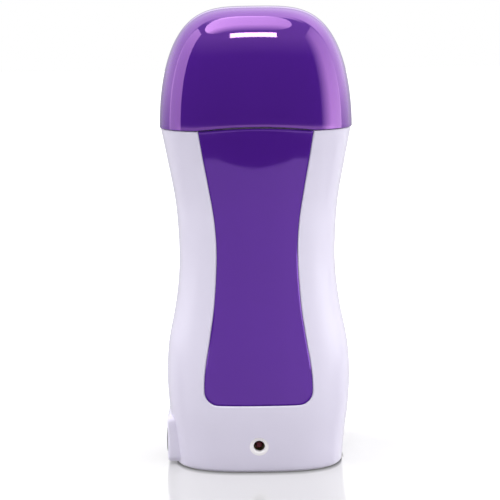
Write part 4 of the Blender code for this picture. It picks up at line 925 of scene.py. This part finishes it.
def case_screw(node, name):
    """A pan-headed cross-slot screw in the node's place."""
    low, high, x, z = seat_of(node)
    seat = high.y - SCREW_HEAD_HEIGHT
    length = seat - low.y
    profile = [
        (SCREW_SHANK_RADIUS * SCREW_POINT_SHARE, -length),
        (SCREW_SHANK_RADIUS, SCREW_SHANK_RADIUS - length),
        (SCREW_SHANK_RADIUS, 0.0),
        (SCREW_HEAD_RADIUS, 0.0),
    ]
    crown = SCREW_HEAD_HEIGHT * SCREW_CROWN_SHARE
    rim = SCREW_HEAD_HEIGHT - crown
    for k in range(FILLET_STEPS + 1):
        angle = math.pi / 2 * k / (FILLET_STEPS + 1)
        profile.append((SCREW_HEAD_RADIUS * math.cos(angle), rim + crown * math.sin(angle)))
    screw = turned(name, profile, (x, seat, z), (0, 1, 0))
    arm, blade = SCREW_HEAD_RADIUS * SCREW_SLOT_LENGTH_SHARE, SCREW_HEAD_RADIUS * SCREW_SLOT_WIDTH_SHARE
    for half_x, half_z in ((arm, blade), (blade, arm)):
        slot_low = (x - half_x, high.y - SCREW_HEAD_HEIGHT * SCREW_SLOT_DEPTH_SHARE, z - half_z)
        boolean(screw, box("slot", slot_low, (x + half_x, high.y + OVERRUN, z + half_z)))
    return smooth_edges(screw)


# Node steps

class Graph:
    """A node tree, with short forms for the steps that materials, lamps, the floor and the world share."""

    def __init__(self, owner):
        owner.use_nodes = True
        self.nodes = owner.node_tree.nodes
        self.links = owner.node_tree.links

    def add(self, kind, **settings):
        node = self.nodes.new("ShaderNode" + kind)
        for name, value in settings.items():
            setattr(node, name, value)
        return node

    def feed(self, socket, value):
        """Links an output to the socket, or sets a number or colour on the socket itself."""
        if isinstance(value, bpy.types.NodeSocket):
            self.links.new(value, socket)
        else:
            socket.default_value = value

    def math(self, operation, *values):
        step = self.add("Math", operation=operation)
        for socket, value in zip(step.inputs, values):
            self.feed(socket, value)
        return step.outputs[0]

    def product(self, first, *others):
        for other in others:
            first = self.math("MULTIPLY", first, other)
        return first

    def ranged(self, value, low, high, from_low=NOISE_LOW_SHARE, from_high=NOISE_HIGH_SHARE):
        """The value's stretch from from_low to from_high, turned into low to high and held at both ends."""
        step = self.add("MapRange")
        names = ("Value", "From Min", "From Max", "To Min", "To Max")
        for name, number in zip(names, (value, from_low, from_high, low, high)):
            self.feed(step.inputs[name], number)
        return step.outputs["Result"]

    def object_place(self):
        """The shaded point in the object's own metres."""
        return self.add("TexCoord").outputs["Object"]

    def axes(self, vector):
        step = self.add("SeparateXYZ")
        self.links.new(vector, step.inputs[0])
        return step.outputs

    def distance(self, centre):
        step = self.add("VectorMath", operation="DISTANCE")
        self.links.new(self.object_place(), step.inputs[0])
        step.inputs[1].default_value = centre
        return step.outputs["Value"]

    def noise(self, scale, detail):
        texture = self.add("TexNoise")
        self.links.new(self.object_place(), texture.inputs["Vector"])
        texture.inputs["Scale"].default_value = scale
        texture.inputs["Detail"].default_value = detail
        return texture.outputs["Fac"]

    def mixed_colour(self, share, first, second):
        mix = self.add("Mix", data_type="RGBA")
        for index, value in zip(COLOUR_MIX_INPUTS, (share, first, second)):
            self.feed(mix.inputs[index], value)
        return mix.outputs[COLOUR_MIX_OUTPUT]

    def mixed(self, share, first, second):
        """Two shaders mixed. None in place of one of them is black."""
        mix = self.add("MixShader")
        for socket, output in zip(mix.inputs, (share, first, second)):
            if output is not None:
                self.links.new(output, socket)
        return mix.outputs[0]


# Materials

def moulded(name, colour, shade, roughness, grain, grain_size, metallic, gloss, tint, refraction):
    """A material of two near shades in soft patches, with uneven gloss and a fine grain."""
    material = bpy.data.materials.new(name)
    graph = Graph(material)
    bump = graph.add("Bump")
    bump.inputs["Strength"].default_value = grain
    bump.inputs["Distance"].default_value = GRAIN_HEIGHT
    graph.links.new(graph.noise(1 / grain_size, FINE_DETAIL), bump.inputs["Height"])
    patches = graph.ranged(graph.noise(SHADE_SCALE, SHADE_DETAIL), 0.0, 1.0)
    values = {
        "Base Color": graph.mixed_colour(patches, (*colour, 1.0), (*shade, 1.0)),
        "Roughness": graph.ranged(graph.noise(GLOSS_SCALE, FINE_DETAIL), *roughness),
        "Normal": bump.outputs["Normal"],
        "Metallic": metallic,
        "IOR": refraction,
        "Specular IOR Level": gloss,
        "Specular Tint": (*tint, 1.0),
    }
    shader = graph.nodes["Principled BSDF"]
    for socket, value in values.items():
        graph.feed(shader.inputs[socket], value)
    return material


def paint_led_rim_highlight(material):
    """Painted highlight: the shell's colour turns whiter on the sunk rim round the indicator hole, in place
    of the light that the rim catches.
    """
    graph = Graph(material)
    base = graph.nodes["Principled BSDF"].inputs["Base Color"]
    distance = graph.distance((0.0, -FRONT_WAIST_DEPTH, LED_HEIGHT))
    inside = graph.ranged(distance, 1.0, 0.0, LED_HIGHLIGHT_RADIUS, LED_HIGHLIGHT_RADIUS + LED_HIGHLIGHT_BLEND)
    shell_colour = base.links[0].from_socket
    graph.links.new(graph.mixed_colour(inside, shell_colour, (*LED_HIGHLIGHT_COLOUR, 1.0)), base)


FINISHES = {}
for slot_name, look in LOOKS.items():
    gloss_values = PURPLE_GLOSS.get(slot_name, PLAIN_GLOSS)
    FINISHES[slot_name] = moulded(slot_name, *look, metallic=float(slot_name in METALS), **gloss_values)
# A highlight painted on the white shell round the indicator hole
paint_led_rim_highlight(FINISHES["white_shell"])


# Assembly

def place(piece, node, body="case"):
    """A new piece stands for its node, in that node's material slot."""
    slot = next(part["material_slot"] for part in frame["record"]["subparts"] if part["node"] == node)
    piece.data.materials.clear()
    piece.data.materials.append(FINISHES[slot])
    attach(piece, body)
    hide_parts(node)
    return piece


def dress_carried_nodes():
    """The nodes whose own mesh is shown take their finish too."""
    slots = {part["node"]: part["material_slot"] for part in frame["record"]["subparts"]}
    for node, obj in frame["nodes"].items():
        obj.data.materials.clear()
        obj.data.materials.append(FINISHES[slots[node]])


def build_pieces():
    dress_carried_nodes()
    place(lid(), "lid", "cap")
    place(front_shell(), "front_shell")
    place(rear_shell(), "rear_shell")
    place(front_window(), "front_window")
    place(top_collar(), "top_collar")
    place(cartridge_chamber(), "cartridge_chamber")
    place(heat_plate(), "heat_plate")
    place(inlet_socket(), "inlet_socket")
    place(inlet_pin("inlet_pin_front", "contact_pin_front"), "inlet_pin_front")
    place(inlet_pin("inlet_pin_rear", "contact_pin_rear"), "inlet_pin_rear")
    place(indicator_led(), "indicator_led")
    for node in SCREWS:
        place(case_screw(node, node.replace("case_", "rear_")), node)


# Camera and studio

def camera():
    data = bpy.data.cameras.new("camera")
    data.lens = CAMERA_LENS
    data.sensor_width = CAMERA_SENSOR
    data.clip_start = CAMERA_CLIP
    obj = bpy.data.objects.new("camera", data)
    obj.location = CAMERA_PLACE
    turn = Matrix.Rotation(math.radians(CAMERA_PAN), 3, "Z")
    turn = turn @ Matrix.Rotation(math.radians(CAMERA_TILT), 3, "X")
    turn = turn @ Matrix.Rotation(math.radians(CAMERA_ROLL), 3, "Z")
    obj.rotation_euler = turn.to_euler()
    bpy.context.scene.collection.objects.link(obj)
    bpy.context.scene.camera = obj


def softbox(
    name,
    place,
    turn,
    size,
    radiance,
    across_shares=EVEN_SHARES,
    across_end_shares=WHOLE_SHARES,
    up_shares=EVEN_SHARES,
    up_end_shares=WHOLE_SHARES,
    shape="RECTANGLE",
):
    """A lamp that the camera doesn't see, whose radiance changes over its width and height."""
    data = bpy.data.lights.new(name, "AREA")
    data.shape = shape
    data.size, data.size_y = size
    data.energy = math.pi * size[0] * size[1]
    graph = Graph(data)
    axes = graph.axes(graph.add("NewGeometry").outputs["Parametric"])
    across = graph.ranged(axes["X"], *across_shares, *across_end_shares)
    up = graph.ranged(axes["Y"], *up_shares, *up_end_shares)
    graph.links.new(graph.product(across, up, radiance), graph.nodes["Emission"].inputs["Strength"])
    obj = bpy.data.objects.new(name, data)
    obj.location = place
    obj.rotation_euler = [math.radians(angle) for angle in turn]
    obj.visible_camera = False
    bpy.context.scene.collection.objects.link(obj)


def studio():
    """Softboxes to the left, the right and overhead, and one bright strip high in front."""
    for name, values in SOFTBOXES.items():
        softbox(name, **values)


def contact_shade(graph):
    """Dark where the foot meets the floor, and light again a short way in front of it."""
    axes = graph.axes(graph.object_place())
    aside, ahead = graph.math("ABSOLUTE", axes["X"]), graph.math("ABSOLUTE", axes["Y"])
    half_width, front, _ = station(0.0)
    bend = graph.math("POWER", graph.math("DIVIDE", aside, half_width), SECTION_POWER)
    inside = graph.math("MAXIMUM", graph.math("SUBTRACT", 1.0, bend), 0.0)
    outline = graph.product(graph.math("POWER", inside, 1 / SECTION_POWER), front)
    past_foot = graph.math("SUBTRACT", ahead, outline)
    shade = graph.ranged(past_foot, CONTACT_SHADE_SHARE, 1.0, 0.0, CONTACT_REACH)
    beside = graph.ranged(aside, 0.0, 1.0, half_width, half_width + CONTACT_SIDE_REACH)
    return graph.math("MAXIMUM", shade, beside)


def floor():
    """A pale table that mirrors only in front of the foot and fades to the white that the camera sees."""
    bm = bmesh.new()
    near, far = -FLOOR_REACH, FLOOR_REACH
    bm.faces.new([bm.verts.new((x, y, 0.0)) for x, y in ((near, near), (far, near), (far, far), (near, far))])
    obj = mesh_object("studio_floor", bm)
    material = bpy.data.materials.new("studio_floor")
    graph = Graph(material)
    graph.nodes.remove(graph.nodes["Principled BSDF"])
    matt = graph.add("BsdfDiffuse")
    matt.inputs["Color"].default_value = (*FLOOR_COLOUR, 1.0)
    mirror = graph.add("BsdfGlossy")
    mirror.inputs["Roughness"].default_value = FLOOR_ROUGHNESS
    distance = graph.distance((0.0, -FLOOR_FRONT, 0.0))
    polish = graph.ranged(distance, FLOOR_GLOSS_SHARE, 0.0, FLOOR_POLISHED, FLOOR_MATT)
    level = graph.ranged(distance, FLOOR_GLOW_NEAR, FLOOR_GLOW_FAR, FLOOR_NEAR, FLOOR_FAR)
    glow = graph.add("Emission")
    seen = graph.add("LightPath").outputs["Is Camera Ray"]
    graph.links.new(graph.product(seen, level), glow.inputs["Strength"])
    both = graph.add("AddShader")
    graph.links.new(graph.mixed(polish, matt.outputs[0], mirror.outputs[0]), both.inputs[0])
    graph.links.new(glow.outputs[0], both.inputs[1])
    shaded = graph.mixed(contact_shade(graph), None, both.outputs[0])
    graph.links.new(shaded, graph.nodes["Material Output"].inputs["Surface"])
    obj.data.materials.append(material)
    obj.visible_glossy = False


def world():
    """White to the camera, soft as light. Reflections see a white tent behind and a pale table in front."""
    scene_world = bpy.data.worlds.new("studio")
    bpy.context.scene.world = scene_world
    graph = Graph(scene_world)
    graph.nodes.clear()
    paths = graph.add("LightPath").outputs
    axes = graph.axes(graph.add("TexCoord").outputs["Generated"])

    def ramp(axis, *numbers):
        return graph.ranged(axes[axis], *numbers)

    def ramps(rows):
        return graph.product(*(ramp(*row) for row in rows))

    def background(strength):
        shader = graph.add("Background")
        shader.inputs["Color"].default_value = WORLD_WHITE
        graph.feed(shader.inputs["Strength"], strength)
        return shader.outputs[0]

    tent = graph.math("MAXIMUM", ramp(*BEHIND_RAMP), ramps(OVERHEAD_RAMPS))
    tent = graph.product(tent, ramps(TENT_RAMPS))
    table_edge = graph.ranged(graph.math("ABSOLUTE", axes["X"]), *TABLE_EDGE)
    down = graph.product(axes["Z"], -1.0)
    table = graph.product(graph.math("LESS_THAN", down, table_edge), ramps(TABLE_RAMPS))
    mirrored = tent
    for light in (ramps(SWEEP_RAMPS), ramp(*HAZE_RAMP), table, ramp(*BASE_RAMP)):
        mirrored = graph.math("ADD", mirrored, light)
    lit = graph.mixed(paths["Is Glossy Ray"], background(ramp(*FILL_RAMP)), background(mirrored))
    seen = graph.math("MAXIMUM", paths["Is Camera Ray"], paths["Is Transmission Ray"])
    output = graph.add("OutputWorld")
    graph.links.new(graph.mixed(seen, lit, background(1.0)), output.inputs["Surface"])


build_pieces()
camera()
studio()
floor()
world()
bpy.context.scene.view_settings.view_transform = "Standard"
